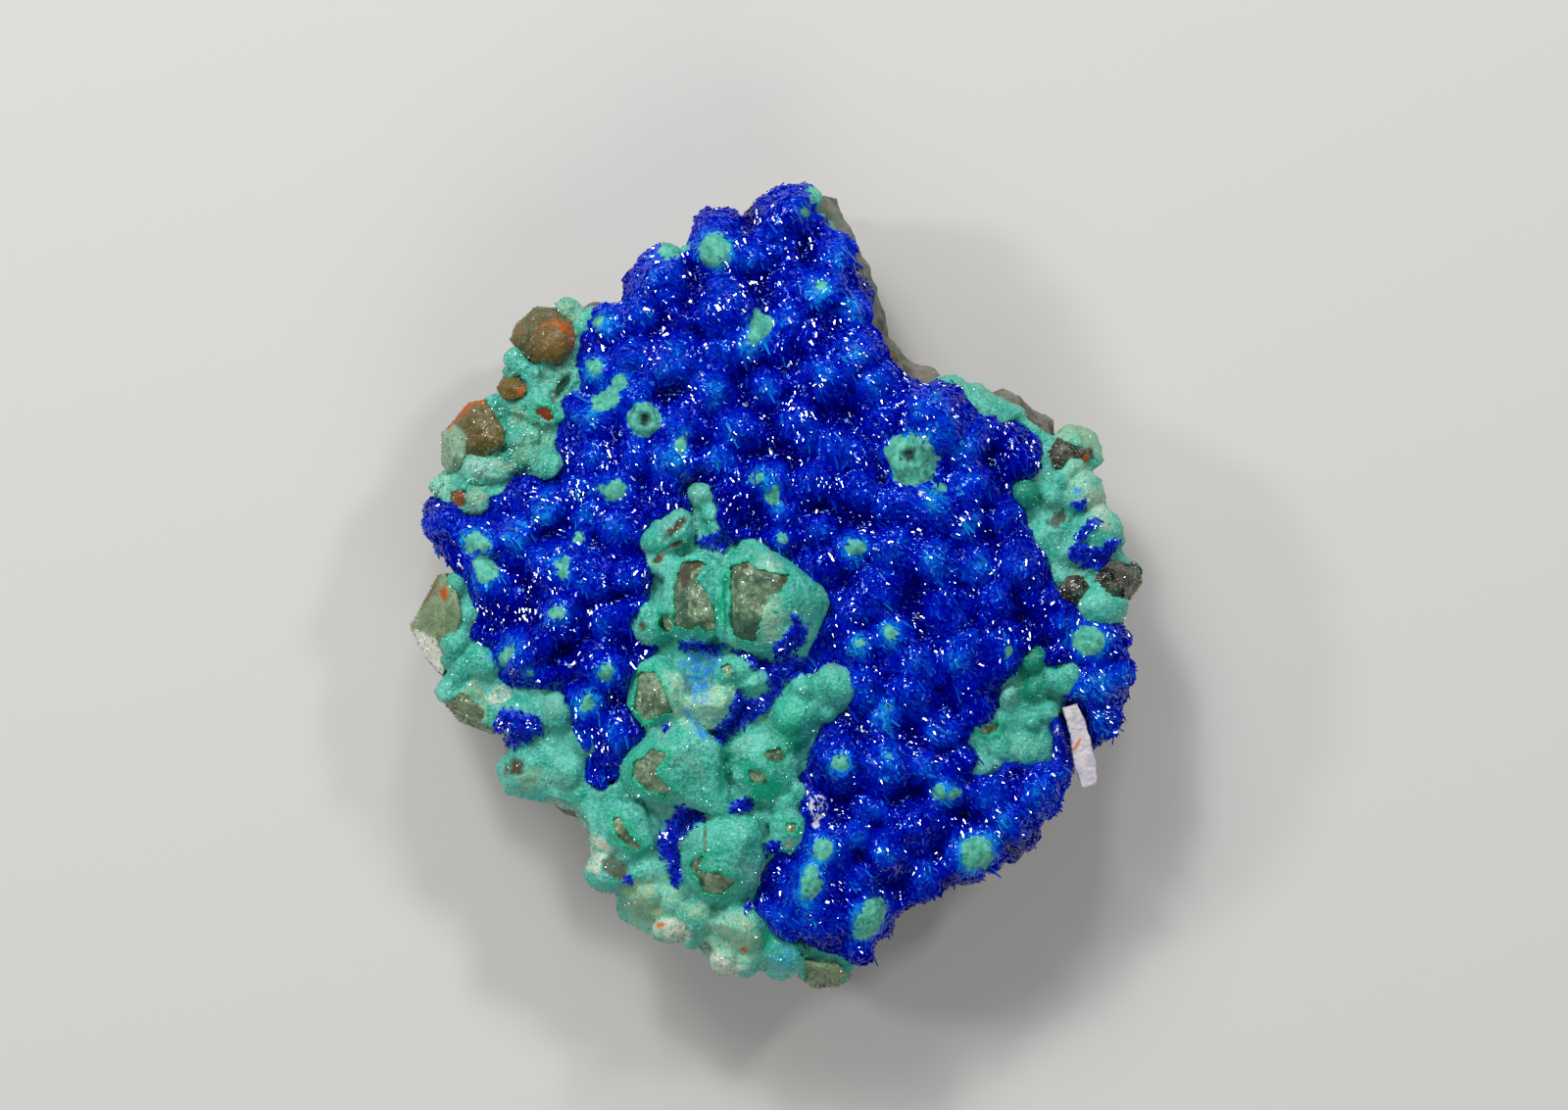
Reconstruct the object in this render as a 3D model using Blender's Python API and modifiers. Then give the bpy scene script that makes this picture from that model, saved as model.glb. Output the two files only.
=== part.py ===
"""Linarite specimen: a piece of quartz rock whose front is crusted with minerals.

A deep blue linarite crust of knobbly mounds covers most of the front. Turquoise green
crusts coat the rest, with hexagonal quartz crystals standing in them, some bare and some
seen through openings in their green coat. One loose white blade lies in the right edge.

The specimen rests on its flat back at z = 0 with its front up: +Z is the front, +X its
right and +Y its top edge. The origin is under the middle of its outline. Everything is
shaped in millimetres, first over a flat bed and then bent to the domed front, and each
finished mesh is scaled to metres.
"""
from collections import namedtuple
import math

import bmesh
import bpy
from mathutils import Matrix, Vector, geometry, noise

# --- driving dimensions, millimetres --------------------------------------------------
METRES_PER_MM = 0.001
BED_TOP = 7.0                # flat top of the crusts' bed, before the front is domed
CRUST_BOTTOM = 4.0           # lowest edge of the crusts round the rim
FOOT_DEPTH = 0.6             # rock below z = 0 that is cut away to leave the flat foot
GROUND = (60.0, 60.0, 5.0)   # the block under z = 0 that cuts it
DOME_RISE = 3.6              # how far the middle of the front stands above its rim
DOME_CENTRE = (0.5, -0.5)
DOME_RADII = (20.5, 23.0)
DOME_FADE = (0.8, 5.2)       # the doming fades in between these heights
WOBBLE = 0.28                # size of the slow unevenness of all surfaces
WOBBLE_SPAN = 5.0            # its wavelength
CRUST_GAP = 0.42             # clearance between a crust and its neighbours, before thinning
SOCKET_GAP = 0.50            # clearance of a crystal in its socket
FINE_VOXEL = 0.28
COARSE_VOXEL = 0.42
SLIVER = 0.02                # edges shorter than this are dissolved
CHIP = 0.9                   # depth of the broken hollows on the rock's sides and back
CHIP_SPAN = 4.2              # their width
CHIP_REACH = 0.6             # share of the span over which a hollow runs out
CHIP_FADE = (3.4, 4.6)       # the rock is left whole above these heights
GOLDEN_SHARE = 0.618034      # spreads repeated sizes and heights evenly
NOISE_SEED = 7               # fixes the unevenness, which is the same on each run

# Triangles left in each piece once it is thinned.
LINARITE_TRIANGLES = 4200
MATRIX_TRIANGLES = 1300
GREEN_TRIANGLES = {"lower": 1850, "upper_left": 560, "right": 500, "pocket": 300}

# Levels of the rock: height and how much of the outline it fills there.
MATRIX_LEVELS = (
    (-FOOT_DEPTH, 0.78), (0.7, 0.88), (2.0, 0.965), (3.2, 0.955), (4.3, 0.90), (5.1, 0.80),
)
# Bare rock that shows past the crust: x, y, z, radius.
MATRIX_KNOBS = (
    (2.1, 19.2, 4.6, 1.2), (3.0, 17.6, 4.4, 1.3), (3.8, 15.6, 4.3, 1.4), (4.3, 13.4, 4.4, 1.5),
    (5.5, 11.0, 4.6, 1.4), (7.3, 9.9, 4.6, 1.3), (11.8, 8.6, 4.7, 1.3), (13.9, 7.4, 4.8, 1.4),
    (-1.9, 18.0, 4.0, 1.2), (-9.5, 13.3, 4.0, 1.3), (-17.0, -1.4, 4.0, 1.6),
    (-6.6, -16.0, 4.4, 1.7), (-10.2, -10.6, 4.2, 1.4), (9.8, -14.0, 3.8, 1.3),
)

# --- outlines of the specimen and its crusts, millimetres ------------------------------
SPECIMEN_OUTLINE = (
    (-0.3, 20.4), (0.2, 20.8), (1.7, 20.8), (3.2, 18.8), (4.6, 16), (5.4, 12.3),
    (6, 11.7), (8.7, 10.5), (9.7, 10.4), (12.9, 9.2), (14.2, 8.6), (16, 7.1),
    (16.4, 5.5), (18.2, 2.1), (18.8, 0.3), (18.1, -1.6), (18.1, -3.9), (18.4, -4.9),
    (17.7, -7.6), (16, -8.5), (15.4, -9.9), (14.6, -10.7), (13.4, -13.5), (12.7, -14.4),
    (10.4, -15.3), (9.2, -15.4), (8.5, -16), (6.8, -16.7), (6.2, -17.3), (4.7, -19.5),
    (2.4, -20.9), (1.4, -20.7), (1, -20.2), (-0.8, -20.1), (-2.1, -20.3), (-2.8, -19.9),
    (-3.8, -18.4), (-5.6, -17.9), (-7.6, -16.6), (-9.2, -14.4), (-9.5, -12.9), (-10.7, -11.5),
    (-12.3, -11.1), (-14.2, -10), (-13.8, -8.4), (-13.9, -7.6), (-16.1, -7.1), (-17.5, -5.8),
    (-17, -4.7), (-17.1, -4.1), (-18.3, -2.9), (-18.8, -2), (-18.1, -1.4), (-17.1, 0.7),
    (-18.1, 4.1), (-17.8, 4.6), (-17.8, 5.4), (-17.2, 5.8), (-17, 6.4), (-17.2, 8.1),
    (-15.8, 9.5), (-14.8, 9.8), (-14.6, 10.4), (-13.8, 11), (-13.6, 12.9), (-13.1, 13.8),
    (-12.2, 14.2), (-10.1, 14.3), (-8.1, 14.9), (-7.6, 15.6), (-7.5, 16.6), (-7.1, 17),
    (-4, 17.9), (-3.6, 18.4), (-2.6, 18.8), (-1.2, 18.9),
)
LINARITE_OUTLINE = (
    (-0.3, 20.3), (0.3, 20.7), (1.5, 20.7), (3.3, 18.1), (4.8, 14.9), (4.6, 13.4),
    (5.8, 11.1), (6.5, 10.5), (8.9, 10.3), (11.3, 9.5), (13.4, 7.9), (14.2, 6.4),
    (14.4, 3.9), (15.4, -0.6), (16.4, -2.1), (17.9, -1.8), (18.3, -4.9), (17.6, -7.6),
    (16, -8.4), (14.6, -10.6), (13.4, -13.5), (12.7, -14.3), (10.4, -15.2), (9.2, -15.3),
    (8.5, -15.9), (7.7, -16.2), (6.2, -17.2), (5.1, -18.9), (4.3, -19.1), (0.9, -17.6),
    (-1, -15.4), (-0.1, -13.6), (1, -12.7), (1, -10.1), (2.4, -5.1), (2, -3.6),
    (0.4, -0.1), (-1.6, 1.4), (-4.6, 1.9), (-5.1, -1.1), (-5.1, -3.1), (-4.5, -6.1),
    (-2.8, -7), (-3.2, -8), (-5.6, -8), (-7.1, -7.2), (-8.5, -10.5), (-9.6, -10.1),
    (-11, -8.2), (-9.7, -6.7), (-14, -5), (-15.5, -3.1), (-15.6, -0.6), (-17.6, 2.1),
    (-18.1, 4.1), (-17.6, 4.8), (-15.6, 4.6), (-13.6, 5.3), (-12.1, 6.3), (-11.8, 8.4),
    (-10.8, 9.4), (-10.1, 11.4), (-10, 13.4), (-9, 14.4), (-8.1, 14.8), (-7.6, 15.6),
    (-7.5, 16.6), (-7.1, 16.9), (-4, 17.8), (-3.6, 18.3), (-2.6, 18.8), (-1.2, 18.8),
)
GREEN_OUTLINES = {
    "upper_left": (
        (-11.3, 14.3), (-9, 14.5), (-10, 12.9), (-10.2, 9.9), (-10.9, 9.4), (-11.2, 6.3),
        (-11.7, 5.4), (-13.3, 5.5), (-13.8, 4.7), (-14.7, 4.5), (-15, 3.5), (-15.8, 3.3),
        (-16.3, 4), (-17.7, 4.6), (-17.7, 5.4), (-17.1, 5.8), (-16.9, 6.5), (-17.1, 8.1),
        (-15.7, 9.4), (-14.8, 9.8), (-13.8, 11), (-13.5, 12.9), (-13, 13.7),
    ),
    "lower": (
        (-4.3, 5), (-3.5, 5), (-2.8, 4.3), (-2.9, 3.4), (-2.3, 2.3), (-1.1, 2.4),
        (-0.1, 1.8), (2, 0), (2.7, -1.1), (2.2, -2.1), (0.8, -3.6), (1.2, -4.4),
        (3.3, -4.4), (4.1, -5.4), (3.7, -6.6), (2.7, -7), (1.9, -9.4), (1.2, -10.1),
        (1.5, -11.1), (1.5, -12.6), (0.4, -13), (-0.8, -15.1), (-1, -16.4), (-0.1, -16.9),
        (0.4, -17.9), (3.4, -18.6), (4.5, -19.4), (3.9, -20.1), (2.4, -20.9), (1.4, -20.7),
        (1, -20.2), (-0.8, -20), (-2.1, -20.2), (-2.8, -19.8), (-3.8, -18.3), (-5.6, -17.8),
        (-7.6, -16.6), (-9.2, -14.3), (-9.4, -12.9), (-10.7, -11.5), (-12.3, -11.1),
        (-14.1, -10), (-13.7, -8.4), (-13.9, -7.6), (-16.1, -7.1), (-17.4, -5.7),
        (-16.9, -4.7), (-17, -4.1), (-18.3, -2.9), (-18.8, -2), (-18, -1.4), (-17, 0.7),
        (-15.7, 0.3), (-15.2, -0.7), (-15.3, -2.6), (-14.3, -3.2), (-14.1, -4.6),
        (-13.1, -5), (-11.5, -5), (-10.3, -5.9), (-9.5, -8.6), (-9.6, -9.9), (-9, -10.5),
        (-8.1, -10.1), (-7.7, -8.9), (-6.8, -7.6), (-7.3, -6.1), (-7.4, -4.6), (-6.8, -3.7),
        (-6, -3.1), (-7.6, -2.1), (-7.3, -1.4), (-6.6, -0.9), (-6.3, 2.9), (-5.6, 3.6),
        (-4.6, 3.6),
    ),
    "right": (
        (8.7, 10.5), (9.7, 10.4), (12.9, 9.1), (16, 7), (16.4, 5.5), (18.6, 1.1),
        (18.7, 0.3), (18, -1.7), (17.4, -2), (15.2, -1.2), (14.4, -0.7), (13.7, 1.4),
        (12.4, 2.9), (12.4, 3.9), (11.9, 4.5), (11.8, 5.1), (13.2, 5.9), (13.7, 7.4),
        (12.2, 8.6), (11.3, 8.9), (10.9, 8.3), (10.3, 8.6),
    ),
    "pocket": (
        (12.9, -3.1), (13.5, -2.9), (13.9, -3.9), (15.2, -3.9), (15.8, -4.6), (14.5, -6.9),
        (14.3, -9.2), (11.9, -9.2), (11.2, -10.1), (10.4, -9.7), (9.8, -9.8), (10.2, -8.4),
        (9.8, -7.6), (10, -6.9), (10.9, -6.5), (11.5, -5.9), (11.3, -5.1),
    ),
}

# --- mounds of the linarite crust: x, y, radius ----------------------------------------
MOUNDS = (
    (0.7, 19.1, 1.6), (0, 17.8, 1.1), (-2.7, 17.4, 1.6), (-1.3, 16.8, 1.1), (3.3, 16.8, 1),
    (-5.8, 15.8, 1.6), (-2.7, 14.3, 1.6), (2.3, 14.9, 1.5), (3.8, 14, 1), (0.8, 13.8, 1.1),
    (-7.1, 13.8, 1.1), (-8.8, 13.4, 1), (-5.1, 11.4, 1.5), (-2.8, 11.9, 1), (-1.2, 12.4, 1.1),
    (2.6, 10.6, 1.3), (3.9, 11.8, 1.3), (5, 10.3, 1), (-7.6, 11.6, 1.1), (-9.3, 11.1, 0.9),
    (-6.6, 10, 0.9), (-3.3, 9.8, 1.2), (-0.3, 10, 1), (1.3, 8.1, 1.3), (-1.8, 7.9, 1.2),
    (-4.6, 8.4, 1), (3, 7.1, 1.1), (5.2, 8.4, 0.9), (8.2, 8.5, 1.9), (9.8, 7.3, 1.3),
    (11, 8.3, 0.9), (6.8, 6.4, 1.35), (-9.7, 8.4, 1), (-6.6, 8.4, 1), (-7.4, 6.4, 1),
    (-9.3, 6.6, 0.8), (-5.1, 6.1, 1.4), (-2.7, 6.1, 1.1), (-0.3, 5.3, 1.1), (1.9, 5.4, 1.1),
    (4, 4.9, 1.1), (5.7, 4.1, 1.1), (7.7, 3.8, 1.4), (9.9, 5.1, 1.3), (9.5, 3, 1),
    (11.5, 3.6, 1), (-10, 4.9, 0.9), (-8.3, 4.9, 1), (-11.5, 4.1, 1.1), (-13.1, 2.6, 1.2),
    (-9.5, 3.3, 0.9), (-7.6, 2.9, 1.1), (-11.3, 1.1, 1.2), (-9.3, 0.4, 1.3),
    (-11.1, -1.5, 1.5), (-8.7, -1.9, 0.9), (-7.3, 0.4, 0.9), (-14.5, 0.1, 1),
    (-15.1, 2.4, 1.1), (-16.7, 3.1, 1.2), (-12.7, -3.2, 1.3), (-8.6, -4.2, 1.4),
    (-9.5, -6, 1.1), (-8, -7.2, 1), (-10, -7.7, 0.9), (0.3, 3.8, 0.9), (2.3, 2.9, 1),
    (4.1, 1.9, 1.1), (6, 1.8, 1.1), (8, 1.3, 1.3), (10, 1, 1.2), (12.5, 0.8, 1.4),
    (11, -1.1, 1.2), (8.5, -1.1, 1.2), (5.5, -0.2, 1.1), (3.9, -1, 1), (5.8, -2.4, 1.1),
    (7.2, -3.7, 1.1), (4.2, -3.1, 0.9), (9.5, -3.2, 1.2), (11.4, -2.9, 1), (4.5, -5.2, 1.1),
    (6.7, -5.7, 1.2), (8.5, -7.2, 1), (5.7, -7, 1), (3.2, -8.9, 1.5), (5.7, -9, 1.3),
    (7.7, -9.2, 1), (4.9, -11.2, 1.1), (7, -12.2, 1.4), (3.9, -12.7, 1), (5.7, -13.7, 1.3),
    (2.5, -13.5, 1.4), (1.7, -15.1, 1.5), (4, -15.1, 1), (7.7, -14.7, 1.1), (9.7, -13.7, 1.2),
    (10.8, -13.6, 1.2), (12, -12.2, 1.3), (13.3, -10.6, 1.3), (11, -10.7, 1.1),
    (8.8, -10.7, 1), (14, -9.6, 0.9), (16.3, -5.4, 1.3), (16.9, -6.9, 1), (16.4, -2.9, 1.3),
    (14.7, -2.1, 0.9), (17.6, -4.6, 0.8), (0.4, -16.9, 1.3), (2.5, -16.9, 1.3),
    (4.5, -16.9, 1.1),
)
MOUND_LIFT = 0.18            # how far a mound's centre stands over the bed, in radii
MOUND_STRETCH = 1.1          # a mound's height over its radius

# --- small lobes that round off a crust's rim ------------------------------------------
RIM_INSET = 0.45             # how far a crust's bed stays inside its outline
RIM_RADII = (0.65, 1.05)     # smallest and largest lobe
RIM_HEIGHTS = (0.5, 2.3)     # lowest and highest lobe over the crust's bottom
RIM_STEP = 1.1               # distance between neighbouring lobes
RIM_REACH = 0.35             # how near the specimen's outline a crust's rim has to be

# --- green crusts: quartz crystals under a green coat, and round lobes -----------------
# Coated crystal: centre, radius, rise above the bed, lean in degrees, the side it leans
# to and the turn of its six faces.
Coated = namedtuple("Coated", "x y radius rise lean toward turn")
COATED = {
    "lower": (
        Coated(-4.3, -0.1, 2.1, 2.2, 8, 120, 10), Coated(-0.3, -0.7, 3.1, 2.6, 10, 60, 0),
        Coated(-5.2, 2.8, 1.5, 1.5, 12, 100, 20), Coated(-5.5, -5.1, 2.4, 2.0, 10, 170, 30),
        Coated(-5.0, -9.4, 3.0, 2.6, 8, 150, 5), Coated(-0.7, -9.1, 2.25, 1.8, 12, 30, 15),
        Coated(-2.7, -14.1, 3.0, 2.2, 8, 200, 25), Coated(0.4, -12.2, 1.2, 1.2, 5, 300, 0),
        Coated(-7.5, -12.2, 1.7, 1.2, 10, 210, 12), Coated(-2.3, -4.9, 1.6, 1.6, 5, 40, 8),
        Coated(-1.3, -18.2, 2.4, 0.8, 14, 260, 18), Coated(2.5, -19.2, 1.5, 0.3, 14, 280, 3),
        Coated(-6.3, -16.2, 2.3, 0.3, 12, 230, 0), Coated(-12.2, -9.3, 1.9, 0.8, 12, 220, 22),
        Coated(-15.3, -5.4, 1.6, 0.6, 12, 200, 6), Coated(-16.1, -1.9, 1.5, 0.4, 10, 190, 0),
    ),
    "upper_left": (
        Coated(-11.8, 8.9, 1.2, 1.0, 5, 90, 0), Coated(-11.8, 6.6, 1.0, 0.7, 8, 270, 10),
        Coated(-10.8, 10.5, 1.1, 0.7, 6, 20, 20), Coated(-12.0, 12.6, 2.0, 0.5, 8, 130, 15),
        Coated(-15.3, 8.0, 2.0, 0.4, 8, 150, 0),
    ),
    "right": (
        Coated(14.2, 2.4, 1.6, 0.8, 10, 180, 0), Coated(15.2, 6.6, 1.5, 0.3, 8, 40, 12),
        Coated(15.3, 0.0, 1.6, 0.5, 8, 300, 20), Coated(17.3, 0.4, 1.4, 0.2, 10, 0, 5),
    ),
    "pocket": (
        Coated(13.2, -8.4, 1.6, 0.8, 6, 200, 0), Coated(10.7, -7.6, 1.3, 0.8, 8, 140, 14),
    ),
}
COAT_TIP = 0.42              # height of a coated crystal's tip over its radius
# Round lobes: x, y, radius, height of the centre over the bed.
LOBES = {
    "lower": (
        (0.7, -5.9, 1.5, 0.2), (1.4, -5.0, 0.8, 0.5), (3.0, -5.1, 1.25, 0.2),
        (-1.6, -5.1, 0.9, 0.6), (-3.8, 4.4, 0.75, 0.3), (-3.3, 3.4, 0.6, 0.4),
        (-6.3, -2.1, 1.1, 0.2), (0.9, -7.6, 1.2, 0.2), (-2.6, -11.6, 1.1, 0.1),
        (-9.6, -8.0, 0.8, 0.0), (-11.2, -6.4, 1.0, 0.0), (-13.2, -6.6, 1.1, 0.0),
        (-8.6, -14.6, 1.1, -0.2), (-4.2, -17.0, 1.1, -0.2), (0.6, -18.9, 1.2, -0.1),
    ),
    "upper_left": (
        (-17.0, 5.3, 0.8, -0.1), (-15.1, 4.3, 0.75, 0.0), (-10.6, 13.5, 0.9, 0.0),
        (-13.4, 6.4, 1.0, 0.0), (-14.0, 10.2, 1.0, -0.1), (-15.4, 6.1, 0.9, 0.0),
    ),
    "right": (
        (14.9, 5.4, 0.7, 0.4), (14.2, 4.6, 0.65, 0.4), (15.9, 4.9, 1.0, 0.1),
        (12.9, 4.8, 0.7, 0.2), (16.7, -0.9, 1.4, 0.3), (16.6, 2.8, 1.2, 0.0),
        (11.4, 9.3, 0.7, 0.0), (10.0, 9.6, 0.7, 0.0),
    ),
    "pocket": (
        (13.2, -3.9, 1.0, 0.2), (15.0, -4.8, 0.95, 0.4), (14.2, -4.8, 0.65, 0.4),
        (12.2, -5.3, 0.75, 0.2), (13.6, -6.4, 0.8, 0.2), (10.6, -9.2, 0.9, 0.1),
    ),
}

# --- bare quartz crystals --------------------------------------------------------------
# Centre, radius, foot and tip heights over the flat bed, lean, side, turn, and how wide
# the coat stands open over a crystal that is seen through it (0 where it is not).
Quartz = namedtuple("Quartz", "name x y radius foot tip lean toward turn window")
QUARTZ = (
    Quartz("stained_quartz_top", -12.1, 12.7, 1.5, -3.0, 1.2, 10, 120, 12, 0),
    Quartz("stained_quartz_middle", -13.7, 10.3, 0.85, -2.8, 0.8, 12, 140, 0, 0),
    Quartz("stained_quartz_left", -15.4, 8.1, 1.55, -3.0, 1.1, 12, 160, 20, 0),
    Quartz("pale_quartz_left_point", -16.6, -1.6, 1.5, -3.0, 1.0, 34, 190, 10, 0),
    Quartz("pale_quartz_lower_left", -15.7, -5.8, 1.2, -3.0, 0.9, 22, 215, 25, 0),
    Quartz("smoky_quartz_right", 17.5, 0.4, 1.05, -3.0, 0.9, 14, 0, 5, 0),
    Quartz("smoky_quartz_right_inner", 15.3, -0.1, 0.85, -3.0, 1.0, 8, 290, 18, 0),
    Quartz("smoky_quartz_right_upper", 14.9, 6.9, 0.95, -3.0, 0.8, 10, 50, 12, 0),
    Quartz("bottom_quartz", 2.4, -19.3, 0.85, -3.0, 0.8, 16, 275, 8, 0),
    Quartz("window_quartz_upper_left", -4.1, -1.0, 1.1, -1.6, 1.7, 4, 120, 10, 1.05),
    Quartz("window_quartz_upper_right", -1.3, -1.0, 1.15, -1.6, 2.0, 4, 60, 0, 1.15),
    Quartz("window_quartz_left", -6.0, -5.4, 1.0, -1.6, 1.5, 4, 170, 30, 1.0),
    Quartz("window_quartz_middle", -6.2, -9.6, 1.15, -1.6, 1.8, 4, 150, 5, 1.0),
    Quartz("window_quartz_lower", -3.4, -14.6, 1.25, -1.6, 1.5, 4, 200, 25, 1.2),
)
QUARTZ_TIP = 0.75            # height of a crystal's six-sided tip over its radius
WINDOW_REACH = 3.5           # length of the opening that a window cuts through the coat
WINDOW_FLARE = 1.15          # its width at the top over its width at the bottom

# --- the loose white blade -------------------------------------------------------------
BLADE_OUTLINE = (
    (-0.45, 2.1), (0.3, 2.15), (0.5, 1.2), (0.55, -1.1), (0.35, -2.1), (-0.4, -2.15),
    (-0.55, -1.0), (-0.4, 0.8),
)
BLADE_THICKNESS = 0.5
BLADE_CENTRE = (15.5, -8.1)
BLADE_RISE = 0.75            # height of its middle over the bed
BLADE_TURN = 13.5
BLADE_PITCH = 9.0            # its outer end lies lower

COLOURS = {                  # base colour, roughness
    "quartz_matrix": ((0.20, 0.17, 0.13), 0.75),
    "linarite_crust": ((0.004, 0.02, 0.50), 0.22),
    "green_crust": ((0.06, 0.42, 0.30), 0.60),
    "stained": ((0.30, 0.13, 0.04), 0.25),
    "pale": ((0.24, 0.26, 0.12), 0.25),
    "smoky": ((0.10, 0.09, 0.06), 0.20),
    "window": ((0.16, 0.17, 0.10), 0.25),
    "bottom": ((0.18, 0.20, 0.10), 0.25),
    "white_blade": ((0.75, 0.73, 0.70), 0.60),
}


# --- bending the flat bed to the domed front -------------------------------------------
def smooth_step(low, high, value):
    """0 below low, 1 above high, and an even slope between."""
    t = min(1.0, max(0.0, (value - low) / (high - low)))
    return t * t * (3.0 - 2.0 * t)


def dome(x, y):
    """Height that the domed front adds at a place."""
    across = (x - DOME_CENTRE[0]) / DOME_RADII[0]
    along = (y - DOME_CENTRE[1]) / DOME_RADII[1]
    return DOME_RISE * max(0.0, 1.0 - across * across - along * along)


def bent(point):
    """Where a point over the flat bed lies on the domed, uneven specimen."""
    x, y, z = point
    share = smooth_step(*DOME_FADE, z)
    wobble = noise.noise_vector(Vector((x, y, 0.0)) / WOBBLE_SPAN) * WOBBLE
    return Vector((x + wobble.x, y + wobble.y, z + share * (dome(x, y) + wobble.z)))


def bend(piece):
    """Bend a whole mesh from the flat bed to the domed front."""
    for vertex in piece.data.vertices:
        vertex.co = bent(vertex.co)


# --- making and keeping objects --------------------------------------------------------
def new_object(name, mesh, home):
    """An object of the mesh in a collection."""
    piece = bpy.data.objects.new(name, mesh)
    home.objects.link(piece)
    return piece


def mesh_from(bm, name, home):
    """Turn a finished bmesh into an object."""
    mesh = bpy.data.meshes.new(name)
    bm.to_mesh(mesh)
    bm.free()
    return new_object(name, mesh, home)


def bake(piece):
    """Replace an object's mesh by what its modifiers make of it."""
    depsgraph = bpy.context.evaluated_depsgraph_get()
    mesh = bpy.data.meshes.new_from_object(piece.evaluated_get(depsgraph))
    old = piece.data
    piece.modifiers.clear()
    piece.data = mesh
    if old.users == 0:
        bpy.data.meshes.remove(old)
    return piece


def discard(*pieces):
    """Remove working shapes that nothing needs any more."""
    for piece in pieces:
        bpy.data.objects.remove(piece)


def fuse(piece, voxel):
    """Melt the overlapping shapes of a mesh into one closed skin."""
    melt = piece.modifiers.new("fuse", "REMESH")
    melt.mode = "VOXEL"
    melt.voxel_size = voxel
    return bake(piece)


def swollen(piece, by, home):
    """A copy of a piece, grown by a distance all round, to cut clearance for it."""
    copy = new_object(piece.name + "_room", piece.data.copy(), home)
    grow = copy.modifiers.new("grow", "DISPLACE")
    grow.mid_level = 0.0
    grow.strength = by
    bake(copy)
    return fuse(copy, COARSE_VOXEL)


def joined(name, pieces, home):
    """One mesh that holds copies of several pieces."""
    bm = bmesh.new()
    for piece in pieces:
        bm.from_mesh(piece.data)
    return mesh_from(bm, name, home)


def cut(piece, cutter):
    """Take the cutter's volume out of a piece."""
    away = piece.modifiers.new("cut", "BOOLEAN")
    away.operation = "DIFFERENCE"
    away.solver = "EXACT"
    away.object = cutter
    return bake(piece)


def bodies_of(bm):
    """The sets of faces of a mesh that hang together edge to edge."""
    unseen = set(bm.faces)
    bodies = []
    for seed in bm.faces:
        if seed not in unseen:
            continue
        unseen.remove(seed)
        front = [seed]
        body = {seed}
        while front:
            for edge in front.pop().edges:
                fresh = [face for face in edge.link_faces if face in unseen]
                unseen.difference_update(fresh)
                body.update(fresh)
                front.extend(fresh)
        bodies.append(body)
    return bodies


def keep_largest(piece):
    """Drop crumbs that a cut has left loose, and edges too short to matter."""
    bm = bmesh.new()
    bm.from_mesh(piece.data)
    bmesh.ops.dissolve_degenerate(bm, edges=bm.edges[:], dist=SLIVER)
    bmesh.ops.triangulate(bm, faces=bm.faces[:])
    largest = max(bodies_of(bm), key=len)
    crumbs = [face for face in bm.faces if face not in largest]
    bmesh.ops.delete(bm, geom=crumbs, context="FACES")
    bmesh.ops.recalc_face_normals(bm, faces=bm.faces[:])
    bm.to_mesh(piece.data)
    bm.free()
    return piece


def thin(piece, triangles):
    """Collapse a mesh to about so many triangles."""
    count = sum(len(face.vertices) - 2 for face in piece.data.polygons)
    fewer = piece.modifiers.new("thin", "DECIMATE")
    fewer.ratio = min(1.0, triangles / count)
    fewer.use_collapse_triangulate = True
    return bake(piece)


# --- shapes over the flat bed ----------------------------------------------------------
def prism(outline, low, high, home):
    """A flat outline stood up between two heights."""
    curve = bpy.data.curves.new("outline", "CURVE")
    curve.dimensions = "2D"
    curve.fill_mode = "BOTH"
    curve.extrude = (high - low) / 2
    spline = curve.splines.new("POLY")
    spline.points.add(len(outline) - 1)
    for point, (x, y) in zip(spline.points, outline):
        point.co = (x, y, 0.0, 1.0)
    spline.use_cyclic_u = True
    drawn = new_object("outline", curve, home)
    drawn.location.z = (low + high) / 2
    depsgraph = bpy.context.evaluated_depsgraph_get()
    mesh = bpy.data.meshes.new_from_object(drawn.evaluated_get(depsgraph))
    mesh.transform(Matrix.Translation(drawn.location))
    bpy.data.objects.remove(drawn)
    bpy.data.curves.remove(curve)
    bm = bmesh.new()
    bm.from_mesh(mesh)
    bpy.data.meshes.remove(mesh)
    bmesh.ops.remove_doubles(bm, verts=bm.verts[:], dist=0.001)
    bmesh.ops.recalc_face_normals(bm, faces=bm.faces[:])
    return bm


def add_ball(bm, centre, radius, stretch=1.0):
    """Add a round lobe, stretched upwards, to a mesh."""
    place = Matrix.Translation(centre) @ Matrix.Diagonal((1.0, 1.0, stretch, 1.0))
    bmesh.ops.create_icosphere(bm, subdivisions=2, radius=radius, matrix=place)


def golden(index):
    """An even scatter of shares between 0 and 1, the same on each run."""
    return (index * GOLDEN_SHARE) % 1.0


def between(limits, share):
    """The value that lies a share of the way between two limits."""
    return limits[0] + (limits[1] - limits[0]) * share


def on_rim(point):
    """Whether a point of a crust's outline lies on the specimen's own outline."""
    corners = [Vector(corner) for corner in SPECIMEN_OUTLINE]
    for start, end in zip(corners, corners[1:] + corners[:1]):
        nearest, share = geometry.intersect_point_line(point, start, end)
        if 0.0 <= share <= 1.0 and (nearest.xy - point).length < RIM_REACH:
            return True
    return any((corner - point).length < RIM_REACH for corner in corners)


def drawn_in(point, by):
    """A point moved towards the middle of the specimen."""
    return point * (1.0 - by / point.length)


def bed_outline(outline):
    """The outline of a crust's bed, which stays inside the lobes of its rim."""
    points = [Vector(point) for point in outline]
    return [drawn_in(point, RIM_INSET) if on_rim(point) else point for point in points]


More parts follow.
